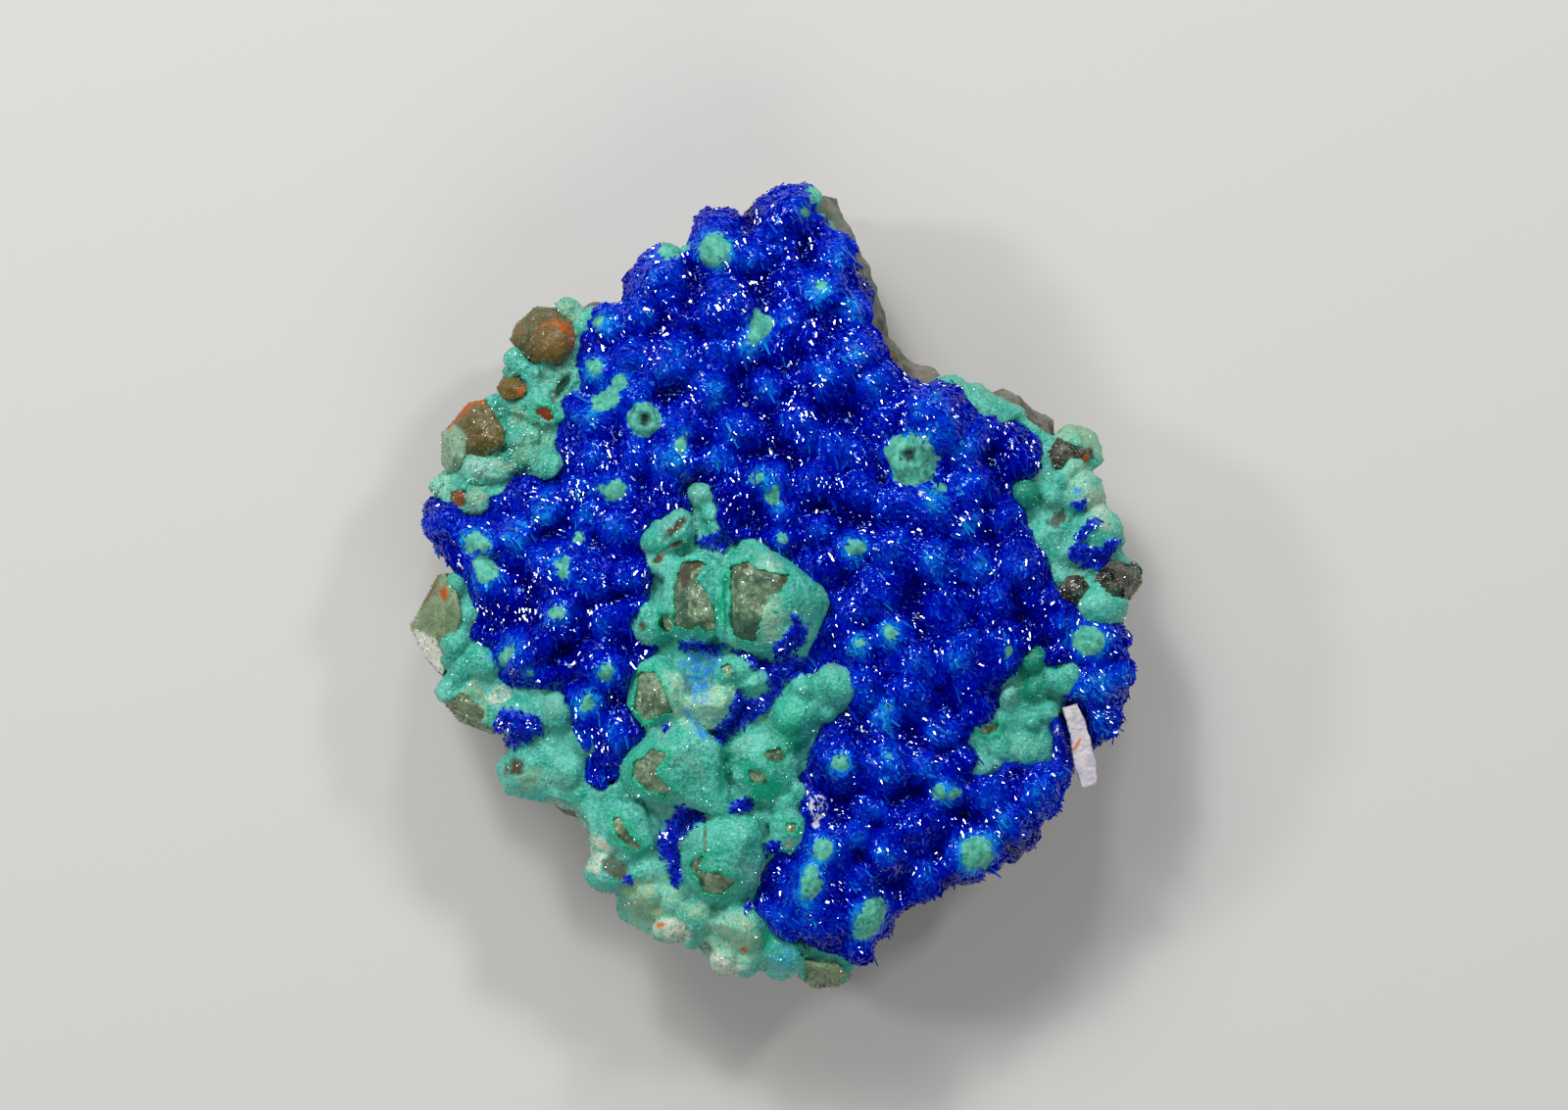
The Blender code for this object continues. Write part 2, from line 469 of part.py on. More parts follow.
def add_rim_lobes(bm, outline):
    """Add lobes of mixed size and height along the outer rim of a crust."""
    points = [Vector(point) for point in outline]
    count = 0
    for start, end in zip(points, points[1:] + points[:1]):
        if not (on_rim(start) and on_rim(end)):
            continue
        steps = max(1, round((end - start).length / RIM_STEP))
        for step in range(steps):
            count += 1
            radius = between(RIM_RADII, golden(count))
            place = drawn_in(start.lerp(end, step / steps), radius)
            height = CRUST_BOTTOM + between(RIM_HEIGHTS, golden(7 * count))
            add_ball(bm, (*place, height), radius)


def leaning(lean, toward, turn):
    """Rotation of a crystal that leans towards a side, in degrees."""
    side = math.radians(toward)
    axis = Vector((-math.sin(side), math.cos(side), 0.0))
    return Matrix.Rotation(math.radians(lean), 4, axis) @ Matrix.Rotation(
        math.radians(turn), 4, "Z")


def add_crystal(bm, foot, radius, length, tip, turned):
    """Add a six-sided crystal that rises from its foot to a six-sided tip."""
    shaft = max(length - tip, 0.1)
    made = bmesh.ops.create_cone(
        bm, cap_ends=True, segments=6, radius1=radius, radius2=radius, depth=shaft,
        matrix=Matrix.Translation((0.0, 0.0, shaft / 2)))
    top = max((face for vertex in made["verts"] for face in vertex.link_faces),
              key=lambda face: face.calc_center_median().z)
    poked = bmesh.ops.poke(bm, faces=[top], offset=tip)
    verts = made["verts"] + poked["verts"]
    bmesh.ops.transform(bm, matrix=Matrix.Translation(foot) @ turned, verts=verts)


# --- the rock --------------------------------------------------------------------------
def chip(form):
    """Break the rock's sides and back into shallow hollows with ridges between."""
    for vertex in form.data.vertices:
        distances, _ = noise.voronoi(vertex.co / CHIP_SPAN)
        hollow = max(0.0, 1.0 - distances[0] / CHIP_REACH)
        share = 1.0 - smooth_step(*CHIP_FADE, vertex.co.z)
        vertex.co -= vertex.normal * (CHIP * hollow * share)


def build_matrix_form(home):
    """The rock's whole form, before its sockets and its foot are cut."""
    bm = bmesh.new()
    rings = []
    for height, share in MATRIX_LEVELS:
        ring = [bm.verts.new((x * share, y * share, height)) for x, y in SPECIMEN_OUTLINE]
        rings.append([bm.edges.new((a, b)) for a, b in zip(ring, ring[1:] + ring[:1])])
    for lower, upper in zip(rings, rings[1:]):
        bmesh.ops.bridge_loops(bm, edges=lower + upper)
    for ring in (rings[0], rings[-1]):
        bmesh.ops.contextual_create(bm, geom=ring)
    bmesh.ops.recalc_face_normals(bm, faces=bm.faces[:])
    for x, y, z, radius in MATRIX_KNOBS:
        add_ball(bm, (x, y, z), radius)
    form = fuse(mesh_from(bm, "quartz_matrix", home), COARSE_VOXEL)
    chip(form)
    bend(form)
    return form


def finish_matrix(form, sockets):
    """Cut the crystals' sockets and the flat foot."""
    cut(form, sockets)
    fuse(form, COARSE_VOXEL)
    keep_largest(thin(form, MATRIX_TRIANGLES))
    bm = bmesh.new()
    floor = Matrix.Translation((0.0, 0.0, -GROUND[2] / 2)) @ Matrix.Diagonal((*GROUND, 1.0))
    bmesh.ops.create_cube(bm, size=1.0, matrix=floor)
    ground = mesh_from(bm, "ground", form.users_collection[0])
    cut(form, ground)
    discard(ground)
    return keep_largest(form)


# --- the crusts ------------------------------------------------------------------------
def build_linarite_form(home):
    """The blue crust's bed and mounds."""
    bm = prism(bed_outline(LINARITE_OUTLINE), CRUST_BOTTOM, BED_TOP, home)
    add_rim_lobes(bm, LINARITE_OUTLINE)
    for x, y, radius in MOUNDS:
        add_ball(bm, (x, y, BED_TOP + MOUND_LIFT * radius), radius, MOUND_STRETCH)
    form = fuse(mesh_from(bm, "linarite_crust", home), FINE_VOXEL)
    bend(form)
    return form


def build_green_form(region, home):
    """One green crust: its bed, its coated crystals and its round lobes."""
    outline = GREEN_OUTLINES[region]
    bm = prism(bed_outline(outline), CRUST_BOTTOM, BED_TOP, home)
    add_rim_lobes(bm, outline)
    for site in COATED[region]:
        foot = (site.x, site.y, CRUST_BOTTOM)
        length = BED_TOP - CRUST_BOTTOM + site.rise
        add_crystal(bm, foot, site.radius, length, COAT_TIP * site.radius,
                    leaning(site.lean, site.toward, site.turn))
    for x, y, radius, rise in LOBES[region]:
        add_ball(bm, (x, y, BED_TOP + rise), radius)
    form = fuse(mesh_from(bm, "green_crust_" + region, home), FINE_VOXEL)
    bend(form)
    return form


def finish_crust(form, room, triangles):
    """Cut room for the neighbours out of a crust and thin it."""
    cut(form, room)
    fuse(form, FINE_VOXEL)
    return keep_largest(thin(form, triangles))


# --- crystals and the blade ------------------------------------------------------------
def add_quartz(bm, site, grow=0.0):
    """Add a bare crystal where it stands on the domed front, or its swollen copy."""
    foot = bent((site.x, site.y, BED_TOP + site.foot)) - Vector((0.0, 0.0, grow))
    turned = leaning(site.lean, site.toward, site.turn)
    radius = site.radius + grow
    lift = dome(site.x, site.y) - (foot.z + grow - BED_TOP - site.foot)
    length = site.tip - site.foot + lift + 2 * grow
    add_crystal(bm, foot, radius, length, QUARTZ_TIP * radius, turned)


def build_quartz(site, home):
    """One bare quartz crystal, with its flat faces."""
    bm = bmesh.new()
    add_quartz(bm, site)
    bmesh.ops.triangulate(bm, faces=bm.faces[:])
    bmesh.ops.recalc_face_normals(bm, faces=bm.faces[:])
    return mesh_from(bm, site.name, home)


def add_window(bm, site):
    """Add the opening in the coat over a crystal that is seen through it."""
    middle = bent((site.x, site.y, BED_TOP + site.tip)) + Vector((0.0, 0.0, WINDOW_REACH / 4))
    bmesh.ops.create_cone(
        bm, cap_ends=True, segments=6, radius1=site.window,
        radius2=site.window * WINDOW_FLARE,
        depth=WINDOW_REACH, matrix=Matrix.Translation(middle) @ leaning(0, 0, site.turn))


def build_blade(home):
    """The loose white blade that lies in the right edge."""
    half = BLADE_THICKNESS / 2
    bm = prism(BLADE_OUTLINE, -half, half, home)
    middle = bent((*BLADE_CENTRE, BED_TOP + BLADE_RISE))
    place = (Matrix.Translation(middle)
             @ Matrix.Rotation(math.radians(BLADE_TURN), 4, "Z")
             @ Matrix.Rotation(math.radians(BLADE_PITCH), 4, "X"))
    bmesh.ops.transform(bm, matrix=place, verts=bm.verts[:])
    bmesh.ops.triangulate(bm, faces=bm.faces[:])
    return mesh_from(bm, "white_blade", home)


# --- materials -------------------------------------------------------------------------
def give_material(piece):
    """Give a piece a material of its own in its mineral's colour."""
    kind = next(key for key in COLOURS if piece.name.startswith(key))
    colour, roughness = COLOURS[kind]
    material = bpy.data.materials.new(piece.name)
    material.use_nodes = True
    shader = material.node_tree.nodes["Principled BSDF"]
    shader.inputs["Base Color"].default_value = (*colour, 1.0)
    shader.inputs["Roughness"].default_value = roughness
    shader.inputs["Metallic"].default_value = 0.0
    piece.data.materials.clear()
    piece.data.materials.append(material)


# --- assembly --------------------------------------------------------------------------
def clear_scene():
    """Start from nothing."""
    for old in list(bpy.data.objects):
        bpy.data.objects.remove(old)


def build():
    """Build every piece, in the order in which the harder pieces displace the softer."""
    home = bpy.data.collections.new("linarite_specimen")
    bench = bpy.data.collections.new("cutters")
    for collection in (home, bench):
        bpy.context.scene.collection.children.link(collection)

    crystals = [build_quartz(site, home) for site in QUARTZ]
    blade = build_blade(home)
    matrix = build_matrix_form(home)
    greens = {region: build_green_form(region, home) for region in GREEN_OUTLINES}
    linarite = build_linarite_form(home)

    bm = bmesh.new()
    for site in QUARTZ:
        add_quartz(bm, site, SOCKET_GAP)
    sockets = fuse(mesh_from(bm, "sockets", bench), COARSE_VOXEL)
    bm = bmesh.new()
    for site in QUARTZ:
        if site.window:
            add_window(bm, site)
    windows = mesh_from(bm, "windows", bench)
    blade_room = swollen(blade, SOCKET_GAP, bench)
    matrix_room = swollen(matrix, CRUST_GAP, bench)
    green_room = fuse(
        joined("green_room", [sockets, windows, blade_room, matrix_room], bench),
        COARSE_VOXEL)
    green_forms = [swollen(green, CRUST_GAP, bench) for green in greens.values()]
    linarite_room = fuse(
        joined("linarite_room", [green_room, *green_forms], bench), COARSE_VOXEL)

    finish_crust(linarite, linarite_room, LINARITE_TRIANGLES)
    for region, green in greens.items():
        finish_crust(green, green_room, GREEN_TRIANGLES[region])
    finish_matrix(matrix, sockets)

    for piece in [*crystals, blade, matrix, linarite, *greens.values()]:
        piece.data.transform(Matrix.Scale(METRES_PER_MM, 4))
        give_material(piece)
    for shape in list(bench.objects):
        discard(shape)
    bpy.data.collections.remove(bench)


clear_scene()
noise.seed_set(NOISE_SEED)
build()
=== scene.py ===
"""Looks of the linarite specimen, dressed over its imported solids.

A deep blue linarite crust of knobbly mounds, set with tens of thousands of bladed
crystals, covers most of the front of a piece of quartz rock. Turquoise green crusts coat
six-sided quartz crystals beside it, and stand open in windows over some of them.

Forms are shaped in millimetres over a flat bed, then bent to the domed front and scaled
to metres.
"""
from __future__ import annotations

import logging
import math
from dataclasses import dataclass, replace
from enum import Enum
from typing import Iterable, Sequence

import bmesh
import bpy
import numpy as np
from mathutils import Matrix, Vector, geometry, noise
from mathutils.bvhtree import BVHTree


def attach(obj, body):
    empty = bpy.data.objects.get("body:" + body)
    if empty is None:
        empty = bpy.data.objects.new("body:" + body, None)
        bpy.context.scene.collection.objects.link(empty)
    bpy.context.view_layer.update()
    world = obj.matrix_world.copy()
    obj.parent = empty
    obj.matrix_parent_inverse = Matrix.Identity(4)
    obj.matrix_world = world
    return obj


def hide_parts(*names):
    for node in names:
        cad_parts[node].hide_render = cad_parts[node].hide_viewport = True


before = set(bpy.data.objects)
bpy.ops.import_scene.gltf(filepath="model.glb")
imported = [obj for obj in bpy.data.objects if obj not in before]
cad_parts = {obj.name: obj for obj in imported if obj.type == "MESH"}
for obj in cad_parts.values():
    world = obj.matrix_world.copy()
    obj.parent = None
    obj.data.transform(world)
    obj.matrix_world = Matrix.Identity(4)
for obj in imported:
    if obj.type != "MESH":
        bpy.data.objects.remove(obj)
log = logging.getLogger("linarite")

Point2 = tuple[float, float]
Point3 = tuple[float, float, float]
Outline = tuple[Point2, ...]
Colour = tuple[float, float, float]
Stops = Sequence[tuple[float, Colour]]
Socket = bpy.types.NodeSocket

# --- sizes shared with the solids, millimetres -----------------------------------------
METRES_PER_MM = 0.001
BED_TOP = 7.0
CRUST_BOTTOM = 4.0
DOME_RISE = 3.6
DOME_CENTRE = (0.5, -0.5)
DOME_RADII = (20.5, 23.0)
DOME_FADE = (0.8, 5.2)
WOBBLE = 0.28
WOBBLE_SPAN = 5.0
MOUND_LIFT = 0.18
MOUND_STRETCH = 1.1
RIM_INSET = 0.45
RIM_RADII = (0.65, 1.05)
RIM_HEIGHTS = (0.5, 2.3)
RIM_STEP = 1.1
RIM_REACH = 0.35
RIM_CLEARANCE = 1.6          # how many radii a rim lobe keeps from a bare crystal
COAT_TIP = 0.42
GOLDEN_SHARE = 0.618034
NOISE_SEED = 7

# --- sizes of the fine surface, millimetres --------------------------------------------
LINARITE_VOXEL = 0.20
GREEN_VOXEL = 0.135
QUARTZ_VOXEL = 0.10
FRONT_DEPTH = 1.2            # the front's relief starts this far under the bed's top
GREEN_LIFT = 0.15            # the green bed overlaps the blue one by this much
UNDERLAY_DROP = 0.35         # the beds that close the seams lie this much lower
COAT_THICKNESS = 0.13        # green coat over a quartz crystal
WINDOW_DEPTH = 0.55          # how deep the coat is opened over a crystal
WINDOW_WALL = 0.10           # width of the opening's wall
RAGGED_STEP = 0.16           # spacing of the corners of a ragged outline
RAGGED_REACH = 0.14          # how far they stray
RAGGED_PLACE = (3.0, 3.5)    # where their noise is read: its height and its scale
MARK_BLUR = 0.8              # width over which a cap's or grain's mask fades
OUTSIDE = -9.0               # stands for a place well outside a patch

# --- outlines and forms over the flat bed, millimetres ----------------------------------
SPECIMEN_OUTLINE: Outline = (
    (-0.3, 20.4), (0.2, 20.8), (1.7, 20.8), (3.2, 18.8), (4.6, 16), (5.4, 12.3),
    (6, 11.7), (8.7, 10.5), (9.7, 10.4), (12.9, 9.2), (14.2, 8.6), (16, 7.1),
    (16.4, 5.5), (18.2, 2.1), (18.8, 0.3), (18.1, -1.6), (18.1, -3.9), (18.4, -4.9),
    (17.7, -7.6), (16, -8.5), (15.4, -9.9), (14.6, -10.7), (13.4, -13.5), (12.7, -14.4),
    (10.4, -15.3), (9.2, -15.4), (8.5, -16), (6.8, -16.7), (6.2, -17.3), (4.7, -19.5),
    (2.4, -20.9), (1.4, -20.7), (1, -20.2), (-0.8, -20.1), (-2.1, -20.3), (-2.8, -19.9),
    (-3.8, -18.4), (-5.6, -17.9), (-7.6, -16.6), (-9.2, -14.4), (-9.5, -12.9), (-10.7, -11.5),
    (-12.3, -11.1), (-14.2, -10), (-13.8, -8.4), (-13.9, -7.6), (-16.1, -7.1), (-17.5, -5.8),
    (-17, -4.7), (-17.1, -4.1), (-18.3, -2.9), (-18.8, -2), (-18.1, -1.4), (-17.1, 0.7),
    (-18.1, 4.1), (-17.8, 4.6), (-17.8, 5.4), (-17.2, 5.8), (-17, 6.4), (-17.2, 8.1),
    (-15.8, 9.5), (-14.8, 9.8), (-14.6, 10.4), (-13.8, 11), (-13.6, 12.9), (-13.1, 13.8),
    (-12.2, 14.2), (-10.1, 14.3), (-8.1, 14.9), (-7.6, 15.6), (-7.5, 16.6), (-7.1, 17),
    (-4, 17.9), (-3.6, 18.4), (-2.6, 18.8), (-1.2, 18.9),
)
LINARITE_OUTLINE: Outline = (
    (-0.3, 20.3), (0.3, 20.7), (1.5, 20.7), (3.3, 18.1), (4.8, 14.9), (4.6, 13.4),
    (5.8, 11.1), (6.5, 10.5), (8.9, 10.3), (11.3, 9.5), (13.4, 7.9), (14.2, 6.4),
    (14.4, 3.9), (15.4, -0.6), (16.4, -2.1), (17.9, -1.8), (18.3, -4.9), (17.6, -7.6),
    (16, -8.4), (14.6, -10.6), (13.4, -13.5), (12.7, -14.3), (10.4, -15.2), (9.2, -15.3),
    (8.5, -15.9), (7.7, -16.2), (6.2, -17.2), (5.1, -18.9), (4.3, -19.1), (0.9, -17.6),
    (-1, -15.4), (-0.1, -13.6), (1, -12.7), (1, -10.1), (2.4, -5.1), (2, -3.6),
    (0.4, -0.1), (-1.6, 1.4), (-4.6, 1.9), (-5.1, -1.1), (-5.1, -3.1), (-4.5, -6.1),
    (-2.8, -7), (-3.2, -8), (-5.6, -8), (-7.1, -7.2), (-8.5, -10.5), (-9.6, -10.1),
    (-11, -8.2), (-9.7, -6.7), (-14, -5), (-15.5, -3.1), (-15.6, -0.6), (-17.6, 2.1),
    (-18.1, 4.1), (-17.6, 4.8), (-15.6, 4.6), (-13.6, 5.3), (-12.1, 6.3), (-11.8, 8.4),
    (-10.8, 9.4), (-10.1, 11.4), (-10, 13.4), (-9, 14.4), (-8.1, 14.8), (-7.6, 15.6),
    (-7.5, 16.6), (-7.1, 16.9), (-4, 17.8), (-3.6, 18.3), (-2.6, 18.8), (-1.2, 18.8),
)
BLADE_OUTLINE: Outline = (
    (14.54, -6.16), (15.49, -6.0), (15.88, -6.87), (16.0, -7.63), (16.26, -8.40),
    (16.32, -9.22), (16.20, -9.99), (15.75, -10.12), (15.49, -9.61), (15.30, -8.71),
    (14.98, -8.01), (14.66, -6.87),
)
# Low beds of linarite that close the seams under the edges of the green crusts.
UNDERLAYS: tuple[Outline, ...] = (
    ((-8.5, -9.5), (-8.0, -5.0), (-6.6, 3.0), (-4.0, 4.2), (-1.5, 3.6), (3.0, 0.5),
     (4.2, -4.0), (4.2, -7.0), (2.6, -11.0), (2.0, -16.5), (-1.2, -16.8), (-3.0, -12.0)),
    ((-10.9, 13.8), (-9.3, 13.8), (-9.2, 9.8), (-10.2, 8.6), (-11.0, 5.6), (-13.8, 4.2),
     (-15.5, 3.6), (-15.8, 4.3), (-13.6, 5.6), (-12.0, 6.8), (-11.6, 9.6), (-11.0, 10.6)),
    ((11.2, 9.2), (13.6, 8.0), (14.2, 5.0), (15.2, 0.3), (14.0, -0.6), (12.8, 1.0),
     (11.8, 3.6), (11.2, 5.3), (12.9, 6.4), (12.6, 7.9), (10.9, 8.2)),
    ((12.7, -2.7), (14.2, -2.8), (15.6, -4.0), (14.9, -6.9), (14.5, -9.4), (10.4, -9.9),
     (9.6, -8.0), (10.2, -6.5), (11.4, -4.9)),
)
GREEN_OUTLINES: dict[str, Outline] = {
    "upper_left": (
        (-11.3, 14.3), (-9, 14.5), (-10, 12.9), (-10.2, 9.9), (-10.9, 9.4), (-11.2, 6.3),
        (-11.7, 5.4), (-13.3, 5.5), (-13.8, 4.7), (-14.7, 4.5), (-15, 3.5), (-15.8, 3.3),
        (-16.3, 4), (-17.7, 4.6), (-17.7, 5.4), (-17.1, 5.8), (-16.9, 6.5), (-17.1, 8.1),
        (-15.7, 9.4), (-14.8, 9.8), (-13.8, 11), (-13.5, 12.9), (-13, 13.7),
    ),
    "lower": (
        (-4.3, 5), (-3.5, 5), (-2.8, 4.3), (-2.9, 3.4), (-2.3, 2.3), (-1.1, 2.4),
        (-0.1, 1.8), (2, 0), (2.7, -1.1), (2.2, -2.1), (0.8, -3.6), (1.2, -4.4),
        (3.3, -4.4), (4.1, -5.4), (3.7, -6.6), (2.7, -7), (1.9, -9.4), (1.2, -10.1),
        (1.5, -11.1), (1.5, -12.6), (0.4, -13), (-0.8, -15.1), (-1, -16.4), (-0.1, -16.9),
        (0.4, -17.9), (3.4, -18.6), (4.5, -19.4), (3.9, -20.1), (2.4, -20.9), (1.4, -20.7),
        (1, -20.2), (-0.8, -20), (-2.1, -20.2), (-2.8, -19.8), (-3.8, -18.3), (-5.6, -17.8),
        (-7.6, -16.6), (-9.2, -14.3), (-9.4, -12.9), (-10.7, -11.5), (-12.3, -11.1),
        (-14.1, -10), (-13.7, -8.4), (-13.9, -7.6), (-16.1, -7.1), (-17.4, -5.7),
        (-16.9, -4.7), (-16.8, -4.1), (-17.3, -2.9), (-17.5, -2), (-17.2, -1.2), (-16.7, 0.5),
        (-15.7, 0.3), (-15.2, -0.7), (-15.3, -2.6), (-14.3, -3.2), (-14.1, -4.6),
        (-13.1, -5), (-11.5, -5), (-10.3, -5.9), (-9.5, -8.6), (-9.6, -9.9), (-9, -10.5),
        (-8.1, -10.1), (-7.7, -8.9), (-6.8, -7.6), (-7.3, -6.1), (-7.4, -4.6), (-6.8, -3.7),
        (-6, -3.1), (-7.6, -2.1), (-7.3, -1.4), (-6.6, -0.9), (-6.3, 2.9), (-5.6, 3.6),
        (-4.6, 3.6),
    ),
    "right": (
        (8.7, 10.5), (9.7, 10.4), (12.9, 9.1), (16, 7), (16.4, 5.5), (18.6, 1.1),
        (18.7, 0.3), (18, -1.7), (17.4, -2), (15.2, -1.2), (14.4, -0.7), (13.7, 1.4),
        (12.4, 2.9), (12.4, 3.9), (11.9, 4.5), (11.8, 5.1), (13.2, 5.9), (13.7, 7.4),
        (12.2, 8.6), (11.3, 8.9), (10.9, 8.3), (10.3, 8.6),
    ),
    "pocket": (
        (12.9, -3.1), (13.5, -2.9), (13.9, -3.9), (15.2, -3.9), (15.8, -4.6), (14.5, -6.9),
        (14.3, -9.2), (11.9, -9.2), (11.2, -10.1), (10.4, -9.7), (9.8, -9.8), (10.2, -8.4),
        (9.8, -7.6), (10, -6.9), (10.9, -6.5), (11.5, -5.9), (11.3, -5.1),
    ),
}

# Mounds of the linarite crust: x, y, radius.
MOUNDS: tuple[Point3, ...] = (
    (0.7, 19.1, 1.6), (0, 17.8, 1.1), (-2.7, 17.4, 1.6), (-1.3, 16.8, 1.1), (3.3, 16.8, 1),
    (-5.8, 15.8, 1.6), (-2.7, 14.3, 1.6), (2.3, 14.9, 1.5), (3.8, 14, 1), (0.8, 13.8, 1.1),
    (-7.1, 13.8, 1.1), (-8.8, 13.4, 1), (-5.1, 11.4, 1.5), (-2.8, 11.9, 1), (-1.2, 12.4, 1.1),
    (2.6, 10.6, 1.3), (3.9, 11.8, 1.3), (5, 10.3, 1), (-7.6, 11.6, 1.1), (-9.3, 11.1, 0.9),
    (-6.6, 10, 0.9), (-3.3, 9.8, 1.2), (-0.3, 10, 1), (1.3, 8.1, 1.3), (-1.8, 7.9, 1.2),
    (-4.6, 8.4, 1), (3, 7.1, 1.1), (5.2, 8.4, 0.9), (8.2, 8.5, 1.9), (9.8, 7.3, 1.3),
    (11, 8.3, 0.9), (6.8, 6.4, 1.35), (-9.7, 8.4, 1), (-6.6, 8.4, 1), (-7.4, 6.4, 1),
    (-9.3, 6.6, 0.8), (-5.1, 6.1, 1.4), (-2.7, 6.1, 1.1), (-0.3, 5.3, 1.1), (1.9, 5.4, 1.1),
    (4, 4.9, 1.1), (5.7, 4.1, 1.1), (7.7, 3.8, 1.4), (9.9, 5.1, 1.3), (9.5, 3, 1),
    (11.5, 3.6, 1), (-10, 4.9, 0.9), (-8.3, 4.9, 1), (-11.5, 4.1, 1.1), (-13.1, 2.6, 1.2),
    (-9.5, 3.3, 0.9), (-7.6, 2.9, 1.1), (-11.3, 1.1, 1.2), (-9.3, 0.4, 1.3),
    (-11.1, -1.5, 1.5), (-8.7, -1.9, 0.9), (-7.3, 0.4, 0.9), (-14.5, 0.1, 1),
    (-15.1, 2.4, 1.1), (-16.7, 3.1, 1.2), (-12.7, -3.2, 1.3), (-8.6, -4.2, 1.4),
    (-9.5, -6, 1.1), (-8, -7.2, 1), (-10, -7.7, 0.9), (0.3, 3.8, 0.9), (2.3, 2.9, 1),
    (4.1, 1.9, 1.1), (6, 1.8, 1.1), (8, 1.3, 1.3), (10, 1, 1.2), (12.5, 0.8, 1.4),
    (11, -1.1, 1.2), (8.5, -1.1, 1.2), (5.5, -0.2, 1.1), (3.9, -1, 1), (5.8, -2.4, 1.1),
    (7.2, -3.7, 1.1), (4.2, -3.1, 0.9), (9.5, -3.2, 1.2), (11.4, -2.9, 1), (4.5, -5.2, 1.1),
    (6.7, -5.7, 1.2), (8.5, -7.2, 1), (5.7, -7, 1), (3.2, -8.9, 1.5), (5.7, -9, 1.3),
    (7.7, -9.2, 1), (4.9, -11.2, 1.1), (7, -12.2, 1.4), (3.9, -12.7, 1), (5.7, -13.7, 1.3),
    (2.5, -13.5, 1.4), (1.7, -15.1, 1.5), (4, -15.1, 1), (7.7, -14.7, 1.1), (9.7, -13.7, 1.2),
    (10.8, -13.6, 1.2), (12, -12.2, 1.3), (13.3, -10.6, 1.3), (11, -10.7, 1.1),
    (8.8, -10.7, 1), (14, -9.6, 0.9), (16.3, -5.4, 1.3), (16.9, -6.9, 1), (16.4, -2.9, 1.3),
    (14.7, -2.1, 0.9), (17.6, -4.6, 0.8), (0.4, -16.9, 1.3), (2.5, -16.9, 1.3),
    (4.5, -16.9, 1.1),
)


@dataclass(frozen=True)
class Coated:
    """A green-coated crystal with six even faces, leaning to one side; angles in degrees."""

    x: float
    y: float
    radius: float
    rise: float
    lean: float
    toward: float
    turn: float


@dataclass(frozen=True)
class Facets:
    """A coated crystal with uneven faces: its shoulder's and its crest's corners.

    Each corner is x, y and height over the bed.
    """

    shoulder: tuple[Point3, ...]
    crest: tuple[Point3, ...]

    def outline(self) -> Outline:
        """The shoulder, seen from above."""
        return tuple((x, y) for x, y, _ in self.shoulder)


@dataclass(frozen=True)
class Lobe:
    """A round lobe: x, y, radius and its centre's height over the bed."""

    x: float
    y: float
    radius: float
    rise: float


COATED: dict[str, tuple[Coated, ...]] = {
    "lower": (
        Coated(0.4, -12.2, 1.2, 1.2, 5, 300, 0), Coated(-7.5, -12.2, 1.7, 1.2, 10, 210, 12),
        Coated(2.2, -18.7, 1.3, 0.3, 14, 280, 3), Coated(-6.0, -15.6, 2.1, 0.2, 12, 230, 0),
        Coated(-12.2, -9.2, 1.8, 0.8, 12, 220, 22), Coated(-15.2, -5.1, 1.4, 0.5, 12, 200, 6),
        Coated(-15.5, -1.6, 1.0, 0.2, 10, 190, 0),
    ),
    "upper_left": (
        Coated(-11.8, 8.9, 1.2, 1.0, 5, 90, 0), Coated(-11.8, 6.6, 1.0, 0.7, 8, 270, 10),
        Coated(-10.8, 10.5, 1.1, 0.7, 6, 20, 20), Coated(-11.8, 12.3, 1.7, 0.2, 8, 130, 15),
        Coated(-15.1, 7.8, 1.5, 0.0, 8, 150, 0), Coated(-16.1, 4.5, 1.0, 0.75, 4, 120, 10),
    ),
    "right": (
        Coated(14.2, 2.4, 1.6, 0.8, 10, 180, 0), Coated(15.2, 6.6, 1.5, 0.3, 8, 40, 12),
        Coated(15.3, 0.0, 1.5, 0.4, 8, 300, 20), Coated(17.0, 0.3, 1.2, 0.1, 10, 0, 5),
    ),
    "pocket": (
        Coated(13.2, -8.4, 1.6, 0.8, 6, 200, 0), Coated(10.7, -7.6, 1.3, 0.8, 8, 140, 14),
    ),
}
